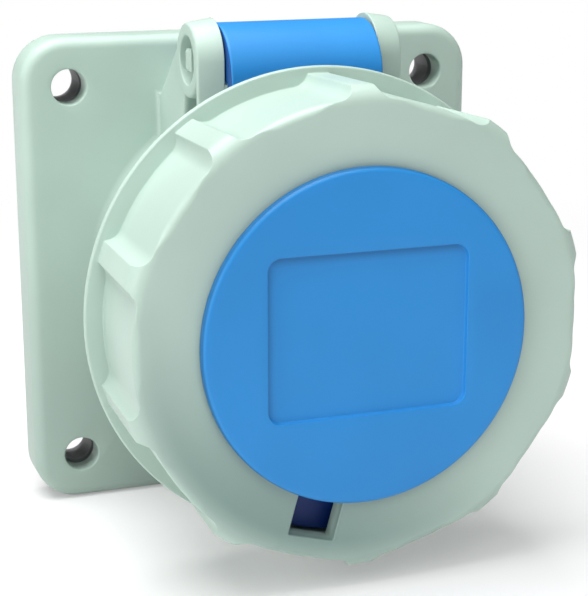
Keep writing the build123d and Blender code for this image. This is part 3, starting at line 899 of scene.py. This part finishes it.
@dataclass(frozen=True)
class GripRing:
    """Bayonet ring: fluted outside, rounded shoulder, thin rim, front wall with a window and two inner lugs."""

    front: float = 59.1
    back: float = 39.2
    rim_front: float = 40.3
    web_back: float = 56.0
    hole_r: float = 20.0
    hole_edges: Pair = (0.2, 0.3)
    bore_r: float = 30.6
    bore_edges: Pair = (0.3, 0.8)
    flute_r: float = 32.6
    spread: float = 0.45
    rim_r: float = 35.3
    rim_edge: float = 0.35
    foot_r: float = 0.18
    shoulder_r: float = 2.6
    crisp_r: float = 0.12
    soft_r: float = 1.2
    face_r: float = 27.0
    window_clock: float = 195.5
    window_span: Pair = (23.3, 29.9)
    window_width: float = 7.0
    window_corner: float = 0.25
    window_break: float = 0.12
    lug_clocks: Pair = (90.0, 270.0)
    lug_span: Pair = (26.4, 31.6)
    lug_stations: Pair = (39.5, 41.7)
    lug_edge: float = 0.3
    lug_half_angle: float = 9.0
    sharp_degrees: float = 38.0
    lands: GripLands = GripLands()

    def build(self, rack: FinishRack) -> None:
        """Make the ring, cut its window and put it on its body.

        Args:
            rack: The finishes, which also place a piece.
        """
        ring = make_piece("grip_ring", [self._shell(), *self._lugs()], self.sharp_degrees)
        carve(ring, make_piece("window_cutter", [self._window_bar()]), self.sharp_degrees)
        rack.place(ring, "ring_plastic", Body.RING, ("bayonet_ring",))

    def _front_edge(self, outer: np.ndarray, softness: np.ndarray) -> list[tuple[np.ndarray, np.ndarray]]:
        """Radii and stations of the edge between the face and the grip, from the face outwards.

        The lands' shoulder is an arc of radius R about C. Where the outline lies at r, a fillet of radius p joins
        that arc to the wall: its centre is at radius r - p, and R - p from C, or p behind the face where that
        radius falls inside C's. The shoulder's angle a runs from 0 to the direction of the fillet's centre, and the
        fillet's from there to a quarter turn.

        Args:
            outer: Radius of the outline at each clock angle.
            softness: Softness of the edge there, from 0 to 1.

        Returns:
            Radii and stations, one pair for each row of points.
        """
        radius = self.shoulder_r
        centre_r, centre_at = outer.max() - radius, self.front - radius
        fillet = self.crisp_r + (self.soft_r - self.crisp_r) * softness
        fillet_r = outer - fillet
        off = np.maximum(fillet_r - centre_r, 0.0)
        rise = np.sqrt(np.maximum((radius - fillet) ** 2 - off**2, 0.0))
        last = np.arctan2(off, rise)
        base = np.minimum(centre_r, fillet_r)
        shoulder = [
            (base + radius * np.sin(last * k), centre_at + radius * np.cos(last * k)) for k in np.linspace(0, 1, 10)
        ]
        edge = [
            (fillet_r + fillet * np.sin(b), centre_at + rise + fillet * np.cos(b))
            for b in (last + (math.pi / 2 - last) * k for k in np.linspace(0, 1, 8)[1:])
        ]
        return shoulder + edge

    def _shell(self) -> Surface:
        """Outside and inside in one closed grid.

        Columns are clock angles. Along a column the path runs round the ring's section: front edge, wall, foot
        fillet and rim follow the lands' height at that clock, and the rest is the same all round. The wall spreads
        evenly from the rim to the front.

        Returns:
            The closed surface.
        """
        clocks, height, softness = self.lands.section()
        foot_r = self.flute_r + height
        edge = self._front_edge(foot_r + self.spread, softness)
        start_r, last_r, last_at = edge[0][0], *edge[-1]
        face = [(self.face_r + (start_r - self.face_r) * k, self.front) for k in (0.35, 0.7)]
        low = self.rim_front + self.foot_r
        wall = [(last_r + (foot_r - last_r) * k, last_at + (low - last_at) * k) for k in np.linspace(0, 1, 8)[1:]]
        foot = [(foot_r + out, self.rim_front + up) for out, up in quarter(self.foot_r, 4)[1:]]
        rim = [(self.rim_r - run, self.rim_front - rise) for rise, run in quarter(self.rim_edge, 4)]
        plain = rounded_path([
            (self.rim_r, (self.rim_front + self.back) / 2, 0.0),
            (self.rim_r, self.back, self.rim_edge),
            (self.bore_r, self.back, self.bore_edges[0]),
            (self.bore_r, self.web_back, self.bore_edges[1]),
            (self.hole_r, self.web_back, self.hole_edges[0]),
            (self.hole_r, self.front, self.hole_edges[1]),
            (self.face_r, self.front, 0.0),
        ])
        return Surface(np.stack(turned([*face, *edge, *wall, *foot, *rim, *plain], clocks)), closed_rows=True)

    def _lugs(self) -> list[Surface]:
        """Two blocks inside the bore, with rounded edges."""
        section = box_outline(self.lug_span, self.lug_stations, (self.lug_edge, 0.0, 0.0, self.lug_edge))
        return [sector(section, clock, self.lug_half_angle) for clock in self.lug_clocks]

    def _window_bar(self) -> Surface:
        """Bar that cuts the window, a little wider at the front face to break its edge.

        Returns:
            The cutter's closed surface.
        """
        turn = math.radians(self.window_clock)
        across, outward = np.array([math.cos(turn), -math.sin(turn)]), np.array([math.sin(turn), math.cos(turn)])
        half, (low, high) = self.window_width / 2, self.window_span
        middle = (low + high) / 2
        outline = box_outline((-half, half), (low - middle, high - middle), (self.window_corner,) * 4, 5)

        def place(rows: np.ndarray) -> np.ndarray:
            """Lay the bar's outline across the ring at the window's clock angle."""
            flat = rows[:, :1] * across + (rows[:, 1:2] + middle) * outward
            return facing(np.column_stack([flat, rows[:, 2]]))

        front, wide = self.front, self.window_break
        return bar(outline, [(self.web_back - 1, 0.0), (front - wide, 0.0), (front, -wide), (front + 1, -wide)], place)


@dataclass(frozen=True)
class FrontDisc:
    """Front disc: rounded rim, a shallow rectangular recess and a round spigot behind."""

    radius: float = 24.0
    back: float = 59.25
    front: float = 60.75
    rim_r: float = 0.7
    axis_r: float = 0.02
    face_margin: float = 1.6
    spigot: Pair = (15.3, 17.3)
    spigot_edges: Pair = (0.2, 0.3)
    spigot_back: float = 56.05
    recess: Pair = (29.5, 23.4)
    recess_corner: float = 2.0
    recess_rise: float = 0.8
    recess_depth: float = 0.7
    recess_lean: float = 0.05
    recess_foot: float = 0.25
    edge_r: float = 0.12

    def build(self, rack: FinishRack) -> None:
        """Make the disc and put it on the lid."""
        disc = make_piece("front_disc_face", [self._shell()])
        rack.place(disc, "disc_plastic", Body.LID, ("front_disc",))

    def _shell(self) -> Surface:
        """One grid from the middle of the back to the middle of the recess.

        Columns follow the recess's outline. Each circle has its points at the clock angles of the outline's points,
        and the rows of the face go evenly from the circle to the outline.

        Returns:
            The disc's surface.
        """
        half_w, half_h = self.recess[0] / 2, self.recess[1] / 2
        corners = [(u * half_w, v * half_h, self.recess_corner) for u, v in ((-1, 1), (1, 1), (1, -1), (-1, -1))]
        outline = closed_outline(corners, 8, 0.5)
        (inner, outer), (inner_edge, outer_edge) = self.spigot, self.spigot_edges
        path = rounded_path([
            (self.axis_r, self.back, 0.0),
            (inner, self.back, 0.0),
            (inner, self.spigot_back, inner_edge),
            (outer, self.spigot_back, outer_edge),
            (outer, self.back, 0.0),
            (self.radius, self.back, self.edge_r),
            (self.radius, self.front, self.rim_r),
            (self.radius - self.face_margin, self.front, 0.0),
        ], 8)
        rows = turned(path, np.arctan2(outline[:, 0], outline[:, 1] + self.recess_rise))

        def loop(depth: float, station: float) -> np.ndarray:
            """Outline of the recess, moved inwards by a depth, at a station."""
            moved = inset(outline, depth)
            return facing(np.column_stack([moved, np.full(len(moved), station)]), z=self.recess_rise)

        flat, lip, floor = rows[-1], loop(-self.edge_r, self.front), self.front - self.recess_depth
        rows += [flat + (lip - flat) * k for k in (0.25, 0.5, 0.75)]
        rows += [loop(-run, self.front - rise) for rise, run in quarter(self.edge_r, 4)]
        rows += [loop(self.recess_lean + rise, floor + run) for rise, run in quarter(self.recess_foot, 4)]
        middle = np.array([0.0, -floor, self.recess_rise])
        rows += [middle + (rows[-1] - middle) * k for k in (0.66, 0.33, 0.0005)]
        return Surface(np.stack(rows))


@dataclass(frozen=True)
class SocketShell:
    """Housing without its ears: hollow-backed square flange, collar and bayonet lugs."""

    half_side: float = 37.5
    corner_r: float = 7.0
    skirt_wall: float = 2.6
    skirt_edge: float = 0.3
    back: float = 3.2
    floor: float = 6.8
    floor_r: float = 0.4
    front: float = 10.7
    edge_r: float = 1.8
    plate_hole_r: float = 18.3
    plate_edges: Pair = (0.3, 0.1)
    plate_flat: float = 5.0
    bore_r: float = 23.0
    collar_r: float = 25.5
    collar_edge: float = 0.45
    root_r: float = 2.0
    mouth_r: float = 23.3
    mouth_back: float = 43.2
    mouth_break: float = 0.5
    mouth_edge: float = 0.15
    collar_front: float = 49.1
    hole_r: float = 2.75
    hole_flare: float = 0.28
    hole_half_spacing: float = 30.0
    screw_hole_r: float = 1.42
    screw_circle_r: float = 20.55
    screw_hole_end: float = 9.8
    screw_clocks: Triple = (0.0, 120.0, 240.0)
    key_half: float = 3.5
    key_span: Pair = (-24.2, -18.0)
    key_corner: float = 0.2
    lug_top_r: float = 28.3
    lug_edge: float = 0.3
    lug_clocks: Pair = (120.0, 300.0)
    lug_half_angle: float = 9.0
    lug_stations: Pair = (42.0, 44.6)
    stop_stations: Pair = (39.5, 44.6)
    stop_turn: float = 12.0
    stop_half_angle: float = 1.5
    columns: int = 480

    def build(self, rack: FinishRack) -> None:
        """Make the shell, cut its holes and keyway and put it on its body.

        Args:
            rack: The finishes, which also place a piece.
        """
        shell = make_piece("socket_shell", [self._shell(), *self._lugs()])
        carve(shell, make_piece("housing_cutters", [*self._hole_bars(), self._key_bar()]))
        rack.place(shell, "housing_plastic", Body.HOUSING, HOUSING_SHELL)

    @staticmethod
    def _square(clock: np.ndarray, half: float, corner: float) -> np.ndarray:
        """Distance from the axis to a rounded square's side.

        Within one eighth of a turn the ray meets the straight side at half / cos a, or the corner's circle, whose
        centre c lies half - corner out each way, at d.c + sqrt((d.c)^2 - c.c + corner^2) for the ray's direction d.

        Args:
            clock: Clock angles in radians.
            half: Half of the square's side.
            corner: Radius of its corners.

        Returns:
            The distance at each clock angle.
        """
        folded = np.abs((clock + math.pi / 4) % (math.pi / 2) - math.pi / 4)
        straight = half / np.cos(folded)
        centre = half - corner
        along = centre * (np.cos(folded) + np.sin(folded))
        bend = along + np.sqrt(np.maximum(along**2 - 2 * centre**2 + corner**2, 0.0))
        return np.where(straight * np.sin(folded) <= centre, straight, bend)

    def _shell(self) -> Surface:
        """One closed grid round the housing's section, from the pocket over the flange to the bore.

        Returns:
            The closed surface.
        """
        clock = np.linspace(0, TAU, self.columns, endpoint=False)
        pocket_half, pocket_corner = self.half_side - self.skirt_wall, self.corner_r - self.skirt_wall
        edge = quarter(self.skirt_edge, 3)
        inner = [(run, self.floor - rise) for rise, run in quarter(self.floor_r, 3)]
        inner += [(-rise, self.back + run) for rise, run in edge]
        outer = [(run, self.back + rise) for rise, run in edge]
        outer += [(rise, self.front - run) for rise, run in quarter(self.edge_r, 8)]
        pocket = [(self._square(clock, pocket_half - d, pocket_corner - d), s) for d, s in inner]
        skirt = [(self._square(clock, self.half_side - d, self.corner_r - d), s) for d, s in outer]
        root, start, rim = self.collar_r + self.root_r, self.plate_hole_r + self.plate_flat, skirt[-1][0]
        face = [(rim + (root - rim) * k, self.front) for k in (0.1, 0.3, 0.6, 0.85)]
        collar = rounded_path([
            (root, self.front, 0.0),
            (root - ROOT_SLIP / 10, self.front, 0.0),
            (self.collar_r, self.front, self.root_r - ROOT_SLIP),
            (self.collar_r, self.collar_front, self.collar_edge),
            (self.mouth_r + self.mouth_break, self.collar_front, self.mouth_edge),
            (self.mouth_r, self.collar_front - self.mouth_break, self.mouth_edge),
            (self.mouth_r, self.mouth_back, 0.0),
            (self.bore_r, self.mouth_back, 0.05),
            (self.bore_r, self.front, self.floor_r),
            (self.plate_hole_r, self.front, self.plate_edges[0]),
            (self.plate_hole_r, self.floor, self.plate_edges[1]),
            (start, self.floor, 0.0),
        ], 8)
        floor = [(start + (pocket[0][0] - start) * k, self.floor) for k in (0.3, 0.65)]
        return Surface(np.stack(turned([*floor, *pocket, *skirt, *face, *collar], clock)), closed_rows=True)

    def _lugs(self) -> list[Surface]:
        """Two bayonet lugs and their stop ribs, with rounded tops.

        Returns:
            A closed block for each lug and rib.
        """
        span, radii = (self.collar_r - 1, self.lug_top_r), (0.0, self.lug_edge, self.lug_edge, 0.0)
        lug, stop = [box_outline(span, stations, radii) for stations in (self.lug_stations, self.stop_stations)]
        pieces = []
        for clock in self.lug_clocks:
            pieces.append(sector(lug, clock, self.lug_half_angle))
            pieces.append(sector(stop, clock + self.stop_turn, self.stop_half_angle, 4))
        return pieces

    def _hole_bars(self) -> list[Surface]:
        """Round bars that cut the fixing holes, flared at both faces, and the three blind screw holes.

        Returns:
            A closed bar for each hole.
        """
        turn = np.linspace(0, TAU, 64, endpoint=False)
        circle = np.column_stack([np.cos(turn), np.sin(turn)])
        flare = quarter(self.hole_flare, 4)
        back = [(self.floor + rise, -run) for rise, run in flare]
        front = [(self.front - rise, -run) for rise, run in flare[::-1]]
        through = [(self.floor - 1, -self.hole_flare), *back, *front, (self.front + 1, -self.hole_flare)]
        blind = [(self.floor - 1, 0.0), (self.screw_hole_end, 0.0)]
        spread, ring = self.hole_half_spacing, self.screw_circle_r
        bars = [
            bar(circle * self.hole_r, through, partial(facing, x=x, z=z))
            for x in (-spread, spread) for z in (-spread, spread)
        ]
        return bars + [
            bar(circle * self.screw_hole_r, blind, partial(facing, x=ring * math.sin(t), z=ring * math.cos(t)))
            for t in np.radians(self.screw_clocks)
        ]

    def _key_bar(self) -> Surface:
        """Bar that cuts the keyway at the bottom of the bore.

        Returns:
            The cutter's closed surface.
        """
        radii = (self.key_corner, self.key_corner, 0.0, 0.0)
        outline = box_outline((-self.key_half, self.key_half), self.key_span, radii)
        return bar(outline, [(self.front, 0.0), (self.collar_front + 1, 0.0)], facing)


@dataclass(frozen=True)
class HingeEars:
    """The two hinge ears: a tapered knuckle with a recessed pin seat, a front wall and a thinner brace."""

    inner_x: float = 12.0
    outer_x: float = 16.0
    hinge: Pair = (27.8, 35.4)
    knuckle_r: float = 6.1
    draft: float = 0.634
    edge_r: float = 0.5
    inner_edge: float = 0.15
    seat_x: float = 13.9
    recess_r: float = 3.6
    recess_edge: float = 0.2
    pin_hole_r: float = 2.02
    wall: float = 2.2
    wall_rise: float = 0.6
    slip: float = 0.02
    brace_r: float = 5.5
    brace_bay_r: float = 4.2
    brace_bay: Pair = (241.0, 172.0)
    brace_inset: float = 0.35
    brace_edge_r: float = 0.9
    brace_top: float = 28.3
    brace_front: float = 22.0
    brace_middle: Pair = (16.0, 26.0)
    flange_at: float = 10.7
    foot_r: float = 0.8
    root_z: float = 20.2

    def build(self, rack: FinishRack) -> None:
        """Make both ears and put them on the housing.

        Args:
            rack: The finishes, which also place a piece.
        """
        sides = (-1.0, 1.0)
        ears = make_piece("hinge_ears", [self._knuckle(side) for side in sides])
        carve(ears, make_piece("seat_cutter", [self._seat(side) for side in sides]))
        bars = [shape(side) for side in sides for shape in (self._wall, self._brace, self._foot)]
        add_parts(ears, make_piece("ear_bars", bars))
        rack.place(ears, "housing_plastic", Body.HOUSING, HOUSING_EARS)

    @staticmethod
    def _sideways(side: float) -> Callable[[np.ndarray], np.ndarray]:
        """Placing that lays (station, z, x) rows out, mirrored for the left ear."""
        return lambda rows: HingeEars._rooted(np.column_stack([side * rows[:, 2], -rows[:, 0], rows[:, 1]]))

    @staticmethod
    def _rooted(rows: np.ndarray) -> np.ndarray:
        """Let the lowest points lie in the middle of the collar's wall, on z = sqrt(radius^2 - x^2).

        Args:
            rows: Points as (x, y, z).

        Returns:
            The points, with the lowest ones moved.
        """
        x, y, z = rows.T
        middle = np.sqrt(COLLAR_MIDDLE_R**2 - x**2)
        return np.column_stack([x, y, np.where(z < ROOTS_BELOW, middle, z)])

    def _levels(self) -> list[Pair]:
        """Levels of the knuckle and the wall: rounded at both faces, with a draft towards the outer one.

        Returns:
            Levels (x, inset) from the inner face outwards.
        """
        drafted = self.knuckle_r - self.draft
        outside = rounded_path([
            (self.knuckle_r - 1, self.inner_x, 0.0),
            (self.knuckle_r, self.inner_x, self.inner_edge),
            (drafted, self.outer_x, self.edge_r),
            (drafted - 1, self.outer_x, 0.0),
        ])
        return [(x, self.knuckle_r - radius) for radius, x in outside[1:-1]]

    def _arc(self, radius: float, first: float, last: float, steps: int) -> np.ndarray:
        """Points of an arc about the hinge, between two angles in degrees counted up from the front.

        Args:
            radius: Radius about the hinge.
            first: First angle.
            last: Last angle.
            steps: Number of points.

        Returns:
            Points as (station, z).
        """
        at, up = self.hinge
        turn = np.radians(np.linspace(first, last, steps))
        return np.column_stack([at + radius * np.cos(turn), up + radius * np.sin(turn)])

    def _wall(self, side: float) -> Surface:
        """Front wall: its front is tangent to the knuckle, it ends inside it, and both have the same draft.

        Args:
            side: 1 for the right ear and -1 for the left.

        Returns:
            The closed surface.
        """
        front, top, low = self.hinge[0] + self.knuckle_r, self.hinge[1] + self.wall_rise, self.root_z
        rear = front - self.wall
        levels = self._levels()
        levels[0] = (levels[0][0] + self.slip, levels[0][1])
        levels[-1] = (levels[-1][0] - self.slip / 4, levels[-1][1])
        return bar(np.array([[rear, low], [front, low], [front, top], [rear, top]]), levels, self._sideways(side))

    def _brace(self, side: float) -> Surface:
        """Brace from the flange to the knuckle.

        Its top edge is a tangent to the circle about the hinge, through the brace's top at the flange: the touching
        point lies at the direction of that top less the arc cosine of radius over distance. Its front edge leans,
        and a bay leaves the knuckle's seat free.

        Args:
            side: 1 for the right ear and -1 for the left.

        Returns:
            The closed surface.
        """
        at, up = self.hinge
        reach, rise = self.flange_at - at, self.brace_top - up
        touch = math.degrees(math.atan2(rise, reach) - math.acos(self.brace_r / math.hypot(reach, rise))) % 360.0
        root = self.flange_at - 1
        outline = np.concatenate([
            [[root, self.root_z], [self.brace_front, self.root_z]],
            self._arc(self.brace_bay_r, *self.brace_bay, 4),
            self._arc(self.brace_r, touch, touch, 1),
            [[self.flange_at, self.brace_top], [root, self.brace_top]],
        ])
        outer, low = self.outer_x - self.brace_inset, self.inner_x + 2 * self.slip
        levels = edge_levels(low, outer, (self.inner_edge, self.brace_edge_r), (4, 6))
        return bar(outline, levels, self._sideways(side), self.brace_middle)

    def _foot(self, side: float) -> Surface:
        """Hollow fillet where the brace stands on the flange: it widens by r (1 - sin a) at face + r (1 - cos a).

        Args:
            side: 1 for the right ear and -1 for the left.

        Returns:
            The closed surface.
        """
        outer, inner = self.outer_x - self.brace_inset - self.slip, self.inner_x + 3 * self.slip
        low, high, radius = self.root_z - 3, self.brace_top - self.slip, self.foot_r
        levels = [(self.flange_at - 1, -radius)]
        levels += [(self.flange_at + rise, -run) for rise, run in quarter(radius, 6)]
        levels.append((self.flange_at + radius + 0.5, 0.0))
        outline = np.array([[inner, low], [outer, low], [outer, high], [inner, high]])
        return bar(outline, levels, lambda rows: self._rooted(facing(rows * (side, 1.0, 1.0))))

    def _knuckle(self, side: float) -> Surface:
        """Knuckle about the pin's axis."""
        return bar(self._arc(self.knuckle_r, 0.0, 357.0, 120), self._levels(), self._sideways(side))

    def _seat(self, side: float) -> Surface:
        """Cutter for the pin's hole and the round recess outside it, with its edge broken.

        Args:
            side: 1 for the right ear and -1 for the left.

        Returns:
            The cutter's closed surface.
        """
        step, chamfer = self.recess_r - self.pin_hole_r, self.inner_edge
        outer, seat, edge = self.outer_x, self.seat_x, self.recess_edge
        levels = [(self.inner_x - 1, step), (seat, step), (seat, chamfer), (seat + chamfer, 0.0)]
        levels += [(outer - run, -rise) for rise, run in quarter(edge, 4)]
        levels.append((outer + 1, -edge))
        return bar(self._arc(self.recess_r, 0.0, 355.0, 72), levels, self._sideways(side))


@dataclass
class CarriedParts:
    """CAD nodes that keep their own shape and get a detailed finish."""

    slots: dict[str, str]

    def dress(self, rack: FinishRack) -> None:
        """Put each node's finish into its own material slots.

        Args:
            rack: The finishes.
        """
        for name, slot in self.slots.items():
            node = frame["nodes"][name]
            for place in node.material_slots:
                place.material = rack.get(slot)
            if not node.material_slots:
                node.data.materials.append(rack.get(slot))
            log.info("%s keeps its solid's form, finished as %s", name, slot)


# ---------------------------------------------------------------- studio


def put_in_view(name: str, data: object, axes: tuple[np.ndarray, ...], place: np.ndarray) -> bpy.types.Object:
    """Make the object of a camera or a lamp.

    Args:
        name: Name of the object.
        data: The camera or the lamp.
        axes: Its sideways, upward and backward axes.
        place: Its place in metres.

    Returns:
        The new object.
    """
    turn = np.eye(4)
    turn[:3, 0], turn[:3, 1], turn[:3, 2], turn[:3, 3] = *axes, place
    thing = bpy.data.objects.new(name, data)
    thing.matrix_world = Matrix(turn.tolist())
    bpy.context.scene.collection.objects.link(thing)
    return thing


@dataclass(frozen=True)
class PhotoCamera:
    """Camera fitted to the photograph: focal length and centre in its pixels, angles in radians."""

    focal: float = 1682.367
    centre: Pair = (278.344, 315.161)
    size: Pair = (588.0, 596.0)
    yaw: float = 0.3351
    pitch: float = 0.2651
    roll: float = -0.0033
    place: Triple = (-85.05, -266.78, 63.99)
    sensor: float = 36.0

    def build(self) -> bpy.types.Object:
        """Make the camera.

        The line of sight turns by yaw from straight into the panel and dips by pitch. The lens is the focal length's
        share of the longer side, and the shift is the centre's offset as a share of the same side.

        Returns:
            The camera, which is now the scene's own.
        """
        data = bpy.data.cameras.new("photo_camera")
        data.sensor_width = self.sensor
        long_side = max(self.size)
        data.lens = self.focal / long_side * self.sensor
        data.shift_x = (self.size[0] / 2 - self.centre[0]) / long_side
        data.shift_y = (self.centre[1] - self.size[1] / 2) / long_side
        data.clip_start, data.clip_end = 0.01, 10.0
        cos_yaw, sin_yaw = math.cos(self.yaw), math.sin(self.yaw)
        cos_pitch, sin_pitch = math.cos(self.pitch), math.sin(self.pitch)
        ahead = np.array([sin_yaw * cos_pitch, cos_yaw * cos_pitch, -sin_pitch])
        right = np.array([cos_yaw, -sin_yaw, 0.0])
        up = np.cross(right, ahead)
        cos_roll, sin_roll = math.cos(self.roll), math.sin(self.roll)
        side, top = cos_roll * right + sin_roll * up, cos_roll * up - sin_roll * right
        camera = put_in_view("photo_camera", data, (side, top, -ahead), np.array(self.place) * MM)
        bpy.context.scene.camera = camera
        return camera


@dataclass(frozen=True)
class SoftLamp:
    """A soft rectangular lamp: place and aim in metres, size in metres, power in watts."""

    name: str
    place: Triple
    aim: Triple
    size: Pair
    power: float

    def build(self) -> bpy.types.Object:
        """Make the lamp, with its face towards its aim.

        Returns:
            The lamp.
        """
        data = bpy.data.lights.new(self.name, "AREA")
        data.shape = "RECTANGLE"
        data.size, data.size_y = self.size
        data.energy = self.power
        ahead = np.array(self.aim) - np.array(self.place)
        ahead = ahead / np.linalg.norm(ahead)
        side = np.cross(ahead, (0.0, 0.0, 1.0) if abs(ahead[2]) < UPRIGHT else (0.0, 1.0, 0.0))
        side = side / np.linalg.norm(side)
        return put_in_view(self.name, data, (side, np.cross(side, ahead), -ahead), self.place)


@dataclass
class Studio:
    """Pale floor, white surroundings and soft lamps."""

    table: NodeTable
    floor_height: float = -37.6
    floor_reach: float = 1600.0
    ambient: float = 0.15
    lamps: tuple[SoftLamp, ...] = (
        SoftLamp("overhead_softbox", (-0.12, -0.02, 0.55), (0.0, -0.02, 0.0), (0.5, 0.5), 5.3),
        SoftLamp("front_softbox", (-0.05, -0.45, 0.5), (0.0, -0.03, 0.0), (0.4, 0.4), 1.4),
        SoftLamp("left_softbox", (-0.72, -0.3, 0.18), (0.0, -0.03, 0.0), (0.5, 0.5), 2.3),
    )

    def build(self) -> None:
        """Make the floor, the surroundings and the lamps."""
        self._floor()
        self._surroundings()
        for lamp in self.lamps:
            lamp.build()
        bpy.context.scene.view_settings.view_transform = "Standard"

    @staticmethod
    def _seen(tree: Tree, *kinds: str) -> bpy.types.NodeSocket:
        """1 for the two named kinds of ray, and 0 for the others."""
        path = add_node(tree, "LightPath", {}).outputs
        return add_node(tree, "Math", {0: path[kinds[0]], 1: path[kinds[1]]}, operation="MAXIMUM").outputs[0]

    def _floor(self) -> None:
        """Lay a plain pale floor just under the object.

        It turns plain white for the camera and for reflections, away from the object and its shadow.
        """
        side = np.array([-self.floor_reach, self.floor_reach])
        x, y = np.meshgrid(side, side, indexing="ij")
        points = np.stack([x, y, np.full_like(x, self.floor_height)], axis=-1)
        floor = make_piece("floor", [Surface(points, closed_columns=False)])
        material = bpy.data.materials.new("pale_floor")
        material.use_nodes = True
        tree = material.node_tree
        shader = tree.nodes["Principled BSDF"]
        feed(shader, "Base Color", (0.8, 0.8, 0.8, 1.0))
        feed(shader, "Roughness", 0.8)
        far = add_group(tree, self.table.far_off).outputs["Far"]
        seen = self._seen(tree, "Is Camera Ray", "Is Glossy Ray")
        share = add_node(tree, "Math", {0: seen, 1: far}, operation="MULTIPLY")
        white = add_node(tree, "Emission", {})
        feeds = {0: share.outputs[0], 1: shader.outputs["BSDF"], 2: white.outputs["Emission"]}
        feed(tree.nodes["Material Output"], "Surface", add_node(tree, "MixShader", feeds).outputs["Shader"])
        floor.data.materials.append(material)

    def _surroundings(self) -> None:
        """Light all round at a plain level, seen as white by the camera and through clear pieces."""
        world = bpy.data.worlds.new("surroundings")
        bpy.context.scene.world = world
        world.use_nodes = True
        tree = world.node_tree
        background = tree.nodes["Background"]
        feed(background, "Color", (1.0, 1.0, 1.0, 1.0))
        seen = self._seen(tree, "Is Camera Ray", "Is Transmission Ray")
        strength = add_node(tree, "MapRange", {"Value": seen, "To Min": self.ambient, "To Max": 1.0})
        feed(background, "Strength", strength.outputs["Result"])


def main() -> None:
    """Build the socket's pieces in order, dress them and set up the studio."""
    rack = FinishRack()
    slots = {part["node"]: part["material_slot"] for part in frame["record"]["subparts"]}
    CarriedParts({name: slot for name, slot in slots.items() if name not in REBUILT}).dress(rack)
    for assembly in (GripRing(), FrontDisc(), SocketShell(), HingeEars()):
        assembly.build(rack)
    PhotoCamera().build()
    Studio(rack.table).build()


if __name__ == "__main__":
    main()
